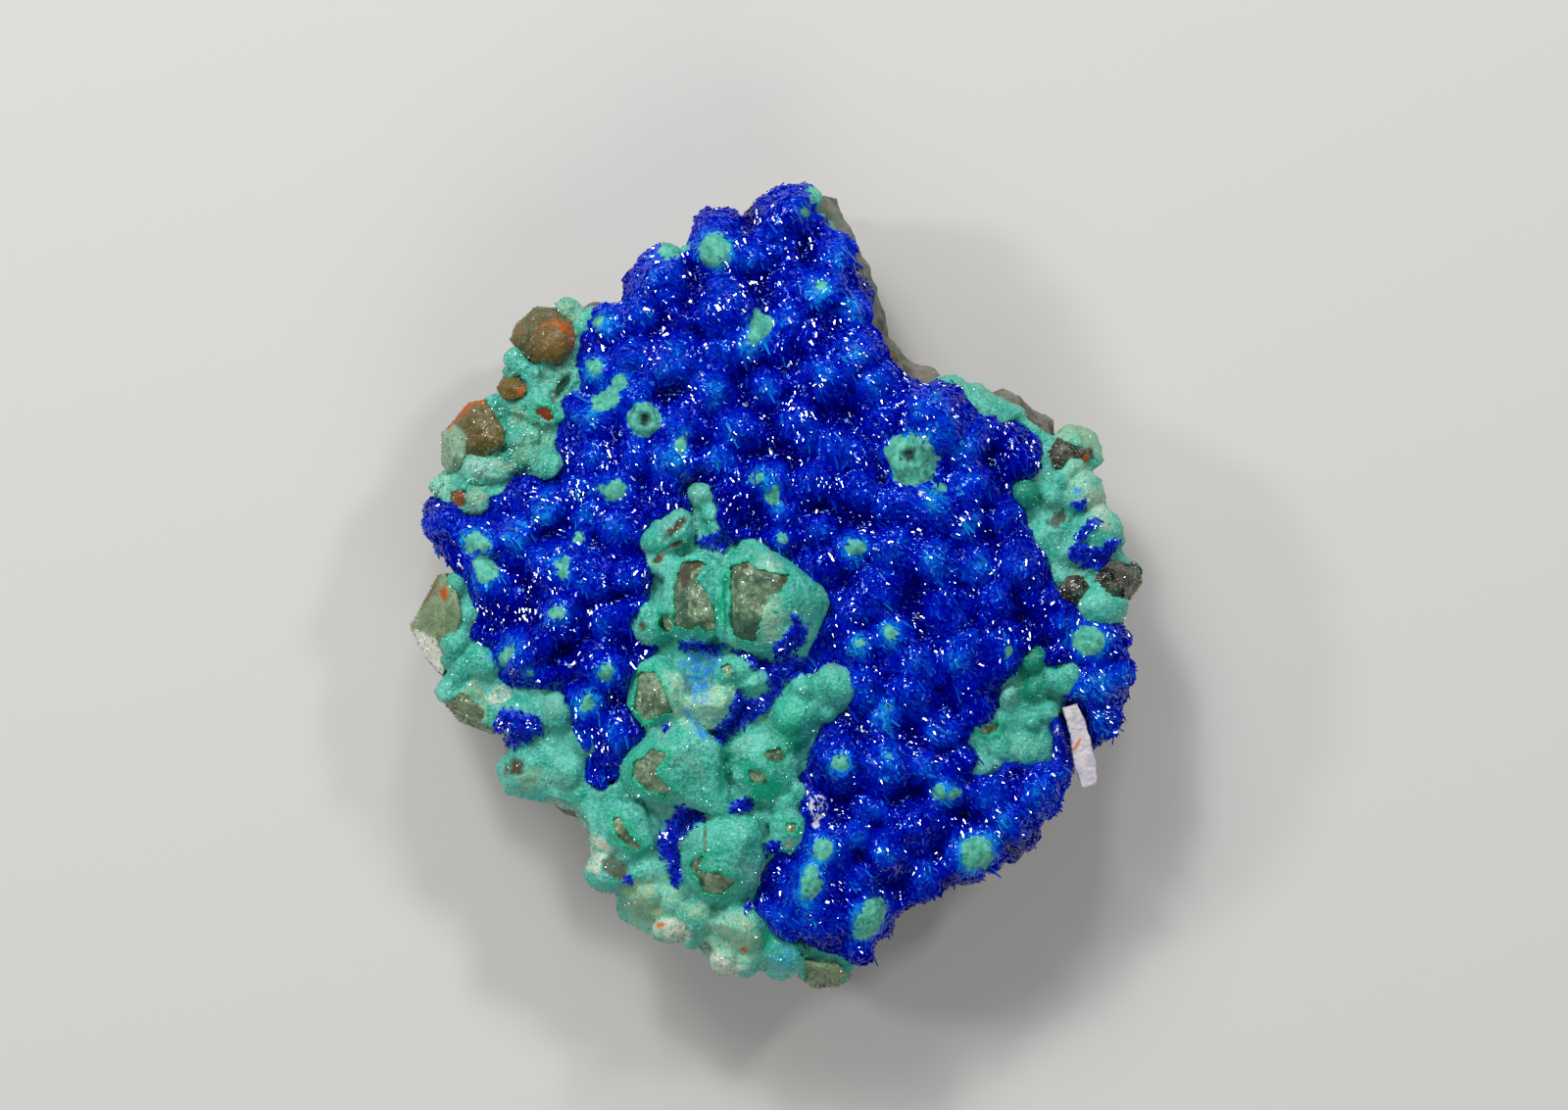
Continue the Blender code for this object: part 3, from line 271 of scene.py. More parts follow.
# The large coated crystals of the lower crust, each by its place in it.
FACETS: dict[str, Facets] = {
    "twin_left": Facets(
        ((-4.9, 1.3, 1.3), (-3.9, 1.6, 1.2), (-2.9, 1.2, 1.5), (-2.75, -2.3, 1.6),
         (-3.5, -2.9, 1.0), (-4.6, -2.85, 0.9), (-5.5, -2.4, 0.8), (-5.9, -1.1, 1.0),
         (-5.5, 0.2, 1.1)),
        ((-3.9, 0.3, 2.2), (-4.0, -1.6, 2.1), (-3.2, -1.2, 2.2))),
    "twin_right": Facets(
        ((-2.45, 1.3, 1.5), (-1.8, 2.2, 0.9), (-0.8, 2.3, 0.9), (-0.1, 1.65, 1.1),
         (1.8, 0.3, 1.1), (2.4, -0.1, 0.9), (2.75, -0.95, 0.8), (2.4, -1.7, 0.6),
         (1.2, -3.9, 0.3), (-0.1, -3.4, 0.7), (-1.4, -3.45, 0.8), (-2.4, -2.9, 1.3)),
        ((-1.9, 0.5, 2.4), (0.3, 0.2, 2.5), (-1.6, -2.0, 2.4), (0.9, -0.9, 2.3))),
    "strip": Facets(
        ((-2.9, 0.8, 1.6), (-2.45, 0.85, 1.6), (-2.4, -2.8, 1.3), (-2.8, -2.9, 1.3)),
        ((-2.68, 0.3, 2.15), (-2.6, -2.2, 2.05))),
    "finger": Facets(
        ((-16.35, -3.7, 0.4), (-15.7, -3.6, 0.5), (-15.75, -4.6, 0.5), (-16.6, -5.7, 0.2),
         (-17.2, -6.0, -0.2), (-17.45, -5.5, -0.2), (-16.9, -4.6, 0.2)),
        ((-16.1, -4.2, 0.95), (-16.9, -5.4, 0.55))),
    "sheet": Facets(
        ((8.8, 10.5, 0.5), (10.0, 10.2, 0.4), (11.4, 9.6, 0.3), (12.9, 8.9, 0.2),
         (12.2, 8.5, 0.5), (11.1, 8.1, 0.8), (9.9, 9.3, 0.9)),
        ((10.8, 9.2, 0.95),)),
    "knob": Facets(
        ((-6.6, 2.4, 0.8), (-6.2, 3.5, 0.9), (-5.5, 3.9, 0.9), (-4.6, 3.6, 0.9),
         (-4.3, 2.7, 1.0), (-4.6, 2.0, 1.1), (-6.0, 1.4, 0.9), (-6.7, 1.8, 0.7)),
        ((-5.6, 2.9, 1.7), (-5.1, 2.4, 1.7))),
    "left": Facets(
        ((-6.85, -4.0, 0.9), (-5.9, -3.5, 1.0), (-4.5, -4.2, 1.2), (-4.5, -6.2, 1.3),
         (-4.9, -6.8, 1.0), (-6.4, -7.1, 0.7), (-7.3, -6.0, 0.7), (-7.3, -4.3, 0.7)),
        ((-5.6, -4.6, 1.9), (-5.5, -6.0, 1.9), (-5.0, -5.2, 1.9))),
    "frosted": Facets(
        ((-4.9, -5.6, 1.2), (-3.5, -5.2, 1.5), (-2.2, -5.1, 1.3), (-2.0, -5.9, 1.1),
         (-2.5, -6.9, 0.9), (-3.2, -7.3, 0.8), (-3.8, -6.7, 1.0), (-4.9, -6.2, 1.0)),
        ((-3.3, -5.9, 1.9), (-2.7, -6.0, 1.8))),
    "saddle": Facets(
        ((-3.2, -3.8, 0.9), (-2.3, -3.4, 0.9), (-1.2, -3.8, 0.9), (-1.5, -4.6, 1.1),
         (-2.0, -5.2, 1.2), (-3.2, -5.1, 1.2)),
        ((-2.4, -4.3, 1.9),)),
    "flake": Facets(
        ((-1.0, -4.1, 0.8), (-0.3, -4.5, 0.6), (-0.6, -5.0, 0.7), (-0.85, -5.4, 0.6),
         (-1.3, -5.6, 0.8), (-1.9, -5.0, 1.3)),
        ((-1.2, -4.8, 1.5),)),
    "middle": Facets(
        ((-7.9, -9.2, 1.0), (-7.6, -10.3, 0.9), (-7.2, -10.85, 0.9), (-5.9, -11.0, 1.0),
         (-4.6, -10.7, 1.3), (-3.5, -11.4, 1.3), (-2.45, -11.5, 1.2), (-2.55, -10.0, 1.5),
         (-2.8, -8.1, 1.5), (-3.3, -7.5, 1.4), (-4.2, -6.9, 1.2), (-6.2, -7.2, 0.9),
         (-7.1, -8.1, 0.9)),
        ((-5.9, -8.4, 2.2), (-5.9, -9.6, 2.3), (-5.2, -10.4, 2.1), (-5.1, -8.2, 2.4))),
    "round": Facets(
        ((-2.6, -8.2, 1.2), (-1.5, -7.6, 1.1), (-0.4, -7.4, 1.0), (0.95, -8.0, 0.9),
         (1.2, -9.1, 0.8), (1.0, -10.3, 0.6), (0.4, -10.8, 0.6), (-0.6, -11.15, 0.7),
         (-1.6, -10.7, 1.0), (-2.2, -10.0, 1.2)),
        ((-0.9, -8.9, 2.0), (-0.5, -9.6, 1.8))),
    "lower": Facets(
        ((-4.9, -13.6, 1.0), (-4.8, -12.9, 1.1), (-4.0, -12.15, 1.1), (-3.6, -11.9, 1.1),
         (-2.3, -11.6, 1.1), (-1.0, -11.75, 1.0), (-0.75, -12.9, 1.1), (-0.7, -13.7, 0.9),
         (-1.2, -14.8, 0.8), (-1.3, -15.4, 0.7), (-1.8, -16.2, 0.5), (-3.0, -16.4, 0.5),
         (-3.8, -16.0, 0.6), (-4.3, -15.2, 0.8), (-4.75, -14.4, 0.9)),
        ((-3.4, -12.8, 2.0), (-1.6, -12.7, 1.9), (-3.3, -14.6, 2.0), (-2.0, -14.9, 1.7))),
    "bottom": Facets(
        ((-3.4, -17.2, 0.5), (-2.3, -16.5, 0.6), (-1.3, -16.3, 0.6), (-0.3, -17.0, 0.6),
         (0.2, -18.0, 0.2), (-0.3, -19.2, -0.4), (-1.3, -19.6, -0.9), (-2.6, -19.2, -0.9),
         (-3.4, -18.2, -0.5)),
        ((-1.6, -17.7, 1.3), (-1.2, -18.3, 1.1))),
}
LOBES: dict[str, tuple[Lobe, ...]] = {
    "lower": (
        Lobe(-5.5, -17.5, 0.9, -0.4), Lobe(-4.2, -17.9, 0.7, -0.4), Lobe(-2.5, -19.3, 0.8, -0.3),
        Lobe(-1.4, -19.5, 0.8, -0.4), Lobe(0.3, -19.6, 0.8, -0.4),
        Lobe(0.85, -6.6, 1.2, 0.35), Lobe(1.4, -5.1, 0.7, 0.6), Lobe(3.0, -5.1, 1.2, 0.25),
        Lobe(-3.8, 4.4, 0.66, 0.35), Lobe(-3.35, 3.5, 0.5, 0.45), Lobe(-6.3, -2.1, 1.0, 0.2),
        Lobe(0.9, -7.6, 1.0, 0.1), Lobe(-2.6, -11.6, 1.1, 0.1), Lobe(-9.6, -8.0, 0.8, 0.0),
        Lobe(-11.2, -6.4, 1.0, 0.0), Lobe(-13.2, -6.6, 1.1, 0.0), Lobe(-8.6, -14.6, 1.1, -0.2),
        Lobe(-4.2, -17.0, 1.1, -0.2), Lobe(0.6, -18.9, 1.2, -0.1), Lobe(-16.3, 0.0, 0.6, 0.1),
        Lobe(-16.3, -3.0, 0.85, 0.1), Lobe(-14.9, -3.9, 0.9, 0.1), Lobe(1.2, -10.6, 0.6, 0.3),
        Lobe(0.3, -11.2, 0.7, 0.2), Lobe(-10.6, -9.6, 0.8, 0.0), Lobe(2.6, -6.4, 0.7, 0.1),
        Lobe(-4.7, -6.9, 0.5, 0.7), Lobe(-2.6, -9.5, 0.45, 0.5), Lobe(-2.7, -8.6, 0.4, 0.6),
        Lobe(-6.0, 2.2, 0.75, 0.75), Lobe(-5.0, 3.2, 0.7, 0.8), Lobe(-5.9, 1.2, 0.65, 0.5),
        Lobe(-6.5, -1.4, 0.6, 0.5), Lobe(-3.1, 2.8, 0.5, 0.2), Lobe(-5.2, 0.9, 0.7, 0.5),
        Lobe(1.95, -5.9, 0.75, 0.2), Lobe(-2.55, -9.0, 0.55, 0.4), Lobe(-1.8, -5.4, 0.5, 0.35),
        Lobe(-7.0, -2.0, 0.7, 0.1), Lobe(-16.7, -3.8, 0.6, -0.1), Lobe(-2.2, -10.6, 0.6, 0.35),
    ),
    "upper_left": (
        Lobe(-17.3, 5.1, 0.5, 0.0), Lobe(-15.1, 4.4, 0.75, 0.3), Lobe(-10.9, 14.0, 0.4, 0.0),
        Lobe(-10.2, 13.3, 0.45, 0.1), Lobe(-9.5, 13.8, 0.45, 0.1), Lobe(-13.3, 11.5, 0.6, 0.25),
        Lobe(-13.4, 6.4, 0.8, 0.0), Lobe(-13.1, 11.2, 0.5, 0.4), Lobe(-12.7, 10.8, 0.4, 0.4),
        Lobe(-15.4, 6.1, 0.9, 0.0),
        Lobe(-11.8, 6.25, 0.85, 0.5), Lobe(-13.3, 7.6, 0.7, 0.1), Lobe(-13.0, 9.2, 0.6, 0.1),
    ),
    "right": (
        Lobe(14.65, 5.45, 0.55, 0.5), Lobe(14.2, 4.6, 0.6, 0.5), Lobe(15.2, 6.1, 0.55, 0.4),
        Lobe(15.9, 4.9, 1.0, 0.1), Lobe(12.7, 4.7, 0.8, 0.3), Lobe(16.7, -0.9, 1.4, 0.2),
        Lobe(16.6, 2.8, 1.2, 0.0),
    ),
    "pocket": (
        Lobe(13.2, -3.9, 0.8, 0.2), Lobe(15.0, -4.8, 0.95, 0.45), Lobe(14.2, -4.8, 0.65, 0.4),
        Lobe(12.1, -5.6, 0.5, 0.2), Lobe(13.4, -5.3, 0.65, 0.2), Lobe(14.1, -6.5, 0.5, 0.3),
        Lobe(13.1, -6.9, 0.4, 0.3), Lobe(10.5, -9.2, 0.75, 0.1),
    ),
}


@dataclass(frozen=True)
class BareForm:
    """A quartz crystal that stands free of the coat: its faces and any round part.

    A walled crystal has coat on its outer side too.
    """

    faces: Facets
    rounds: tuple[Lobe, ...] = ()
    more: tuple[Facets, ...] = ()
    walled: bool = False


BARE_FORMS: dict[str, BareForm] = {
    "stained_quartz_top": BareForm(
        Facets(((-13.75, 12.5, 0.3), (-13.4, 13.3, 0.1), (-12.4, 14.15, 0.0),
                (-11.4, 14.1, 0.1), (-10.4, 13.4, 0.4), (-10.3, 12.2, 0.6),
                (-11.0, 11.5, 0.7), (-12.5, 11.4, 0.7)),
               ((-12.6, 13.0, 1.1), (-11.6, 13.4, 1.0), (-12.6, 12.0, 1.0))),
        (Lobe(-11.4, 12.4, 1.08, 0.55),)),
    "stained_quartz_middle": BareForm(
        Facets(((-14.35, 10.1, 0.5), (-13.9, 10.7, 0.4), (-13.2, 10.65, 0.5),
                (-12.75, 10.1, 0.7), (-12.95, 9.6, 0.8), (-13.9, 9.45, 0.7)),
               ((-13.5, 10.1, 1.0), (-13.1, 9.95, 1.0)))),
    "stained_quartz_left": BareForm(
        Facets(((-17.1, 8.0, 0.1), (-15.9, 9.4, 0.0), (-14.9, 9.55, 0.3), (-14.5, 8.6, 0.7),
                (-14.0, 7.9, 0.6), (-14.0, 7.2, 0.6), (-14.9, 6.6, 0.5), (-16.0, 6.7, 0.4)),
               ((-15.8, 8.6, 1.0), (-15.3, 8.1, 1.3), (-14.7, 7.5, 1.1), (-15.6, 7.2, 1.0))),
        (Lobe(-14.6, 7.5, 0.62, 0.5),),
        (Facets(((-17.2, 8.0, 0.1), (-16.6, 8.3, 0.4), (-16.0, 7.9, 0.6), (-15.95, 6.5, 0.7),
                 (-16.2, 5.9, 0.4), (-16.9, 5.8, 0.0), (-17.25, 6.6, -0.1)),
                ((-16.7, 7.5, 1.05), (-16.5, 6.6, 1.1))),)),
    "pale_quartz_left_point": BareForm(
        Facets(((-18.85, -2.0, -0.6), (-18.0, -0.9, -0.4), (-17.3, 0.4, -0.1),
                (-16.8, 0.5, 0.3), (-16.2, -0.3, 0.7), (-15.9, -1.6, 0.8), (-16.4, -2.5, 0.6),
                (-17.4, -2.7, 0.3), (-17.0, -4.7, 0.1), (-17.5, -4.2, -0.4),
                (-18.2, -3.2, -0.5)),
               ((-16.7, -1.2, 0.95), (-17.3, -1.7, 0.5)))),
    "pale_quartz_lower_left": BareForm(
        Facets(((-17.2, -6.0, -0.5), (-16.4, -7.15, -1.3), (-14.5, -7.65, -1.3),
                (-14.7, -6.6, 0.1), (-15.2, -6.2, 0.6), (-16.2, -5.6, 0.6)),
               ((-15.8, -6.1, 0.7),))),
    "bottom_quartz": BareForm(
        Facets(((1.5, -19.15, 0.6), (3.2, -19.2, 0.6), (3.9, -19.95, 0.1), (3.2, -20.6, -0.7),
                (2.0, -20.85, -0.9), (1.35, -20.3, -0.6), (1.4, -19.6, 0.2)),
               ((2.3, -19.4, 0.85), (3.0, -19.7, 0.7)))),
    "smoky_quartz_right": BareForm(
        Facets(((16.2, 0.1, 0.8), (16.4, 0.75, 0.8), (17.2, 1.3, 0.5), (18.4, 1.2, -0.3),
                (18.8, 0.2, -0.7), (18.2, -0.6, -0.3), (17.7, -0.9, 0.3), (16.9, -0.6, 0.7)),
               ((17.0, 0.5, 1.2), (17.5, 0.1, 1.1)))),
    "smoky_quartz_right_inner": BareForm(
        Facets(((14.3, -0.3, 0.7), (14.9, 0.5, 0.9), (15.65, 0.55, 0.9), (16.15, -0.2, 0.8),
                (15.4, -0.95, 0.6), (14.7, -0.7, 0.6)),
               ((15.1, 0.0, 1.2), (15.5, -0.3, 1.05)))),
    "smoky_quartz_right_upper": BareForm(
        Facets(((14.0, 6.9, 0.6), (14.5, 7.6, 0.3), (15.4, 7.3, 0.2), (16.25, 7.0, -0.1),
                (16.4, 6.5, -0.1), (15.3, 6.35, 0.5), (14.65, 6.0, 0.7), (14.2, 6.1, 0.7)),
               ((14.7, 6.9, 1.0), (15.4, 6.8, 0.75))), walled=True),
}


# --- openings in the coat ---------------------------------------------------------------
@dataclass(frozen=True)
class Opening:
    """A place where the green coat stands open, with how deep it is opened."""

    outline: Outline
    depth: float = WINDOW_DEPTH
    rim: float = 0.28


# Openings over the large crystals, each with its quartz inside.
WINDOWS: dict[str, Opening] = {
    "twin_left": Opening(
        ((-4.84, 1.07), (-3.85, 1.23), (-3.43, 0.90), (-4.01, 0.24), (-3.27, -0.59),
         (-2.95, -1.42), (-2.98, -2.34), (-3.43, -2.34), (-3.85, -2.09), (-4.34, -2.34),
         (-5.09, -2.09), (-5.09, -0.10)), rim=0.12),
    "twin_right": Opening(
        ((-2.38, 0.74), (-1.77, 1.07), (-1.44, 1.15), (-0.94, 0.74), (-0.11, 0.57),
         (0.72, 0.49), (0.39, -0.26), (-0.28, -0.59), (-0.61, -1.18), (-0.94, -2.09),
         (-1.03, -2.67), (-1.77, -2.75), (-2.27, -2.42), (-2.27, -0.76)), rim=0.12),
    "left": Opening(
        ((-6.86, -4.34), (-5.87, -4.15), (-5.68, -4.66), (-5.17, -5.68), (-5.01, -6.44),
         (-5.65, -6.44), (-6.03, -6.70), (-6.54, -6.79), (-7.02, -6.06), (-6.96, -5.36)), rim=0.4),
    "middle": Opening(
        ((-6.10, -8.10), (-5.40, -8.42), (-5.97, -9.25), (-5.97, -9.57), (-5.27, -10.33),
         (-5.65, -10.78), (-6.48, -10.40), (-7.31, -9.63), (-7.12, -8.87), (-6.61, -8.55)),
        rim=0.4),
    "lower": Opening(
        ((-4.48, -14.05), (-3.71, -13.49), (-3.39, -13.39), (-3.81, -14.12), (-3.71, -14.40),
         (-2.87, -14.40), (-2.02, -14.97), (-2.80, -15.81), (-3.64, -15.60), (-3.92, -14.90)),
        rim=0.35),
}
# Smaller openings, over crystals that show in one place only.
PORTHOLES: dict[str, tuple[Opening, ...]] = {
    "saddle": (
        Opening(((-2.85, -4.08), (-2.33, -3.76), (-2.08, -4.27), (-2.40, -4.50)), 0.7, 0.0),),
    "round": (
        Opening(((-0.93, -8.55), (0.15, -8.16), (0.41, -8.61), (0.22, -9.12), (-0.42, -8.80)),
                0.8, 0.3),
        Opening(((-1.63, -9.25), (-0.80, -9.44), (-0.42, -9.89), (-1.31, -10.01)), 0.7, 0.4)),
}
BARE_OPENINGS: dict[str, tuple[Opening, ...]] = {
    "upper_left": (
        Opening(((-12.46, 8.83), (-11.86, 9.26), (-11.43, 9.09), (-11.26, 8.49),
                 (-11.69, 8.40)), 0.3, 0.35),
        Opening(((-16.65, 4.95), (-15.65, 5.0), (-15.65, 3.95), (-16.5, 4.0)), 0.35, 0.0),
    ),
    "lower": (
        Opening(((0.26, -12.02), (0.89, -12.09), (0.85, -12.72), (0.36, -12.51)), 0.5, 0.25),
        Opening(((-5.85, -1.4), (-5.3, -1.45), (-5.1, -2.0), (-5.2, -2.4), (-5.6, -2.45),
                 (-5.85, -2.0)), 0.5, 0.25),
        Opening(((-8.35, -11.75), (-7.95, -11.75), (-7.65, -12.3), (-7.4, -12.75),
                 (-6.8, -13.4), (-7.2, -13.35), (-7.9, -12.9), (-8.3, -12.4)), 0.5, 0.4),
    ),
    "right": (),
    "pocket": (
        Opening(((10.33, -7.25), (10.97, -6.80), (11.35, -6.87), (11.28, -7.31),
                 (10.84, -7.50)), 0.5, 0.3),
    ),
}


# --- patches of colour ------------------------------------------------------------------
class Tint(Enum):
    """What a patch of a crust's surface is, by the name of its mesh attribute."""

    RIM = "rim"
    PALE = "pale"
    JADE = "jade"
    FROST = "frost"
    BLUE = "blue"
    STAIN = "stain"
    OLIVE = "olive"
    WHITE = "white"
    # Painted shade: a near-black green in cracks, holes and the floors of openings.
    HOLLOW_SHADE = "hollow_shade"
    BROWN = "brown"
    AMBER = "amber"


@dataclass(frozen=True)
class Patch:
    """A patch of a tint inside an outline, with how far its edge fades and wanders."""

    tint: Tint
    outline: Outline
    fade: float = 0.15
    wander: float = 0.15
    strength: float = 1.0


@dataclass(frozen=True)
class Spot:
    """A round or oval patch of a tint; its turn is in degrees."""

    tint: Tint
    x: float
    y: float
    radius: float
    stretch: float = 1.0
    turn: float = 0.0
    fade: float = 0.12
    wander: float = 0.15
    strength: float = 1.0


GREEN_TINTS: tuple[Tint, ...] = (
    Tint.RIM, Tint.PALE, Tint.JADE, Tint.FROST, Tint.BLUE, Tint.STAIN, Tint.OLIVE, Tint.WHITE,
    Tint.HOLLOW_SHADE, Tint.BROWN,
)
QUARTZ_TINTS: tuple[Tint, ...] = (Tint.STAIN, Tint.WHITE, Tint.AMBER, Tint.PALE)
QUARTZ_MARKS: tuple[Patch | Spot, ...] = (
    Spot(Tint.AMBER, -11.45, 12.4, 1.05, fade=0.3), Spot(Tint.AMBER, -13.3, 13.0, 0.35),
    Patch(Tint.STAIN, ((-12.0, 13.2), (-11.4, 13.55), (-10.6, 13.3), (-10.15, 12.6),
                       (-10.15, 11.9), (-10.4, 12.2), (-10.6, 12.7), (-11.1, 13.15),
                       (-11.7, 13.2)), 0.25, 0.2),
    Spot(Tint.STAIN, -13.0, 9.95, 0.25, 1.4, 30, wander=0.15),
    Spot(Tint.AMBER, -13.5, 10.15, 0.9, fade=0.4, wander=0.5),
    Patch(Tint.STAIN, ((-17.3, 8.0), (-15.9, 9.6), (-14.9, 9.7), (-15.1, 9.35), (-15.9, 9.05),
                       (-16.9, 8.1)), 0.3, 0.3),
    Patch(Tint.PALE, ((-2.3, -1.6), (-1.3, -1.1), (-0.6, -2.0), (-1.0, -2.8), (-2.3, -2.8)),
          0.5, 0.5),
    Spot(Tint.PALE, -4.6, -1.0, 0.45, 1.6, 100, 0.5, 0.5),
    Spot(Tint.PALE, -0.6, 0.2, 0.4, 1.5, 20, 0.5, 0.4),
    Spot(Tint.STAIN, -4.5, 0.5, 0.45, 1.3, 60, 0.3, 0.4),
    Spot(Tint.STAIN, -1.75, 0.7, 0.22, 1.6, 80, 0.2, 0.3),
    Spot(Tint.STAIN, 0.35, 0.15, 0.25, 1.6, 60, 0.2, 0.3),
    Spot(Tint.STAIN, -4.1, 0.95, 0.3, 1.8, 0, 0.2, 0.4),
    Patch(Tint.AMBER, ((-16.3, 8.6), (-14.9, 9.2), (-13.9, 7.9), (-14.1, 7.2), (-15.3, 7.4),
                       (-16.0, 7.3)), 0.5, 0.2, 0.5),
    Patch(Tint.PALE, ((-17.5, 8.1), (-16.6, 8.4), (-15.95, 7.9), (-15.9, 6.5), (-16.1, 5.6),
                      (-17.5, 5.6)), 0.15, 0.08),
    Spot(Tint.AMBER, -11.85, 8.75, 0.62, fade=0.1, wander=0.1),
    Spot(Tint.AMBER, -16.2, 4.45, 0.6, wander=0.4, strength=0.9),
    Spot(Tint.STAIN, -16.85, -0.5, 0.22, 1.3, 130, wander=0.15),
    Patch(Tint.AMBER, ((-18.2, -0.8), (-17.4, 0.6), (-17.0, 0.7), (-17.3, -0.1), (-17.8, -0.9)),
          0.3, 0.1),
    Patch(Tint.WHITE, ((-18.95, -2.2), (-18.4, -2.2), (-17.4, -2.7), (-17.0, -3.2),
                       (-16.6, -4.9), (-18.0, -4.4), (-18.9, -3.0)), 0.25, 0.12),
    Spot(Tint.STAIN, 15.9, 6.45, 0.14, 1.8, 10),
)
GREEN_PATCHES: tuple[Patch, ...] = (
    Patch(Tint.PALE, ((-5.5, -4.2), (-4.5, -4.3), (-4.0, -5.2), (-3.4, -4.6), (-2.1, -5.3),
                      (-2.3, -6.3), (-3.2, -7.3), (-4.0, -7.1), (-4.9, -6.7), (-5.1, -5.7)),
          0.5, 0.25),
    Patch(Tint.FROST, ((-4.6, -3.2), (-2.6, -2.9), (-2.7, -3.7), (-3.2, -4.8), (-3.4, -5.8),
                       (-4.0, -5.7), (-4.4, -4.8), (-4.6, -3.9)), 0.5, 0.3),
    Patch(Tint.BLUE, ((-4.7, -2.8), (-3.9, -2.75), (-3.0, -2.95), (-2.6, -3.0), (-2.9, -3.35),
                      (-3.9, -3.25), (-4.6, -3.2)), 0.12, 0.12),
    Patch(Tint.BLUE, ((-2.1, -3.15), (-1.2, -3.5), (-0.2, -3.7), (0.8, -3.4), (1.4, -3.7),
                      (1.3, -4.4), (0.9, -4.6), (0.2, -4.8), (0.1, -5.5), (-0.5, -5.5),
                      (-0.45, -4.8), (-0.8, -4.3), (-1.5, -3.85)), 0.12, 0.15),
    Patch(Tint.FROST, ((-4.6, -6.2), (-4.2, -6.2), (-3.8, -6.9), (-3.4, -7.4), (-2.9, -7.9),
                       (-3.2, -8.1), (-3.8, -7.6), (-4.1, -7.0)), 0.25, 0.15),
    Patch(Tint.PALE, ((-0.9, -0.6), (0.0, -0.5), (0.4, -1.6), (-0.1, -2.8), (-0.8, -2.6)),
          0.7, 0.3),
    Patch(Tint.PALE, ((-0.9, 1.2), (-0.2, 1.5), (0.4, 0.9), (-0.2, 0.6), (-0.8, 0.8)), 0.5, 0.3),
    Patch(Tint.WHITE, ((-9.7, -12.7), (-8.8, -12.8), (-8.35, -13.4), (-8.9, -13.9),
                       (-9.0, -14.8), (-9.8, -14.2)), 0.2, 0.15),
    Patch(Tint.WHITE, ((-12.4, -11.4), (-10.9, -11.0), (-9.6, -12.3), (-9.9, -13.0),
                       (-11.0, -12.2)), 0.5, 0.35, 0.6),
    Patch(Tint.BROWN, ((-8.85, -13.85), (-8.4, -13.5), (-7.6, -14.2), (-7.7, -14.85),
                       (-8.3, -14.75), (-8.9, -14.4)), 0.12, 0.08, 0.85),
    Patch(Tint.OLIVE, ((-16.3, -5.6), (-15.2, -4.8), (-14.7, -6.0), (-15.0, -6.9),
                       (-16.0, -6.3)), 0.3, 0.3),
    Patch(Tint.BLUE, ((-4.97, -10.9), (-4.3, -11.4), (-3.5, -11.6), (-3.7, -11.95),
                      (-4.27, -12.3), (-4.97, -12.93), (-5.04, -13.77), (-4.69, -14.9),
                      (-5.25, -15.18), (-5.67, -14.05), (-6.16, -13.21), (-5.88, -12.44),
                      (-5.25, -11.74)), 0.12, 0.15),
    Patch(Tint.BLUE, ((-2.14, -5.33), (-1.31, -5.68), (-0.55, -5.23), (0.03, -5.48),
                      (-1.06, -6.70), (-2.78, -8.04), (-3.23, -7.46), (-2.33, -6.44)),
          0.12, 0.12),
    Patch(Tint.BLUE, ((0.80, -1.50), (1.42, -1.92), (1.30, -2.58), (0.63, -3.50),
                      (-0.11, -3.50), (-0.36, -2.91), (0.14, -2.58)), 0.2, 0.35),
    Patch(Tint.BLUE, ((-4.18, 2.31), (-2.93, 2.72), (-2.27, 2.23), (-2.68, 1.56),
                      (-3.59, 1.81)), 0.2, 0.25),
    Patch(Tint.BLUE, ((-13.85, -6.25), (-12.28, -6.42), (-12.03, -7.41), (-12.94, -7.99),
                      (-13.85, -8.32), (-13.77, -7.33), (-14.43, -7.66), (-14.52, -7.16)),
          0.2, 0.25),
    Patch(Tint.BLUE, ((16.34, 3.33), (16.48, 3.05), (15.99, 2.56), (15.64, 2.14),
                      (16.34, 1.93), (17.32, 2.56), (17.39, 2.21), (16.76, 1.01),
                      (15.99, 0.87), (15.21, 1.30), (15.07, 1.72), (15.50, 2.56)), 0.15, 0.2),
    Patch(Tint.OLIVE, ((-7.8, -14.9), (-6.6, -14.9), (-6.0, -16.2), (-5.6, -16.9),
                       (-6.6, -17.3), (-7.8, -16.4)), 0.4, 0.35),
    Patch(Tint.OLIVE, ((-4.7, -16.2), (-3.9, -15.9), (-3.4, -16.5), (-3.7, -17.2),
                       (-4.6, -17.2)), 0.4, 0.3, 0.7),
    Patch(Tint.WHITE, ((-6.4, -17.1), (-5.2, -16.9), (-4.5, -17.4), (-4.4, -18.2),
                       (-5.6, -18.2), (-6.6, -17.5)), 0.3, 0.2),
    Patch(Tint.WHITE, ((-3.6, -18.6), (-3.0, -18.9), (-2.2, -19.3), (-1.5, -19.6),
                       (-1.4, -20.6), (-3.0, -20.2)), 0.5, 0.2),
    Patch(Tint.OLIVE, ((14.0, 8.5), (15.5, 8.7), (17.0, 7.4), (17.0, 6.2), (16.4, 6.6),
                       (15.4, 7.4), (14.4, 7.7)), 0.3, 0.2, 0.85),
    Patch(Tint.JADE, ((12.6, -3.3), (13.7, -3.0), (14.0, -4.3), (13.6, -5.9), (12.6, -6.0),
                      (12.2, -4.6)), 0.5, 0.25),
)
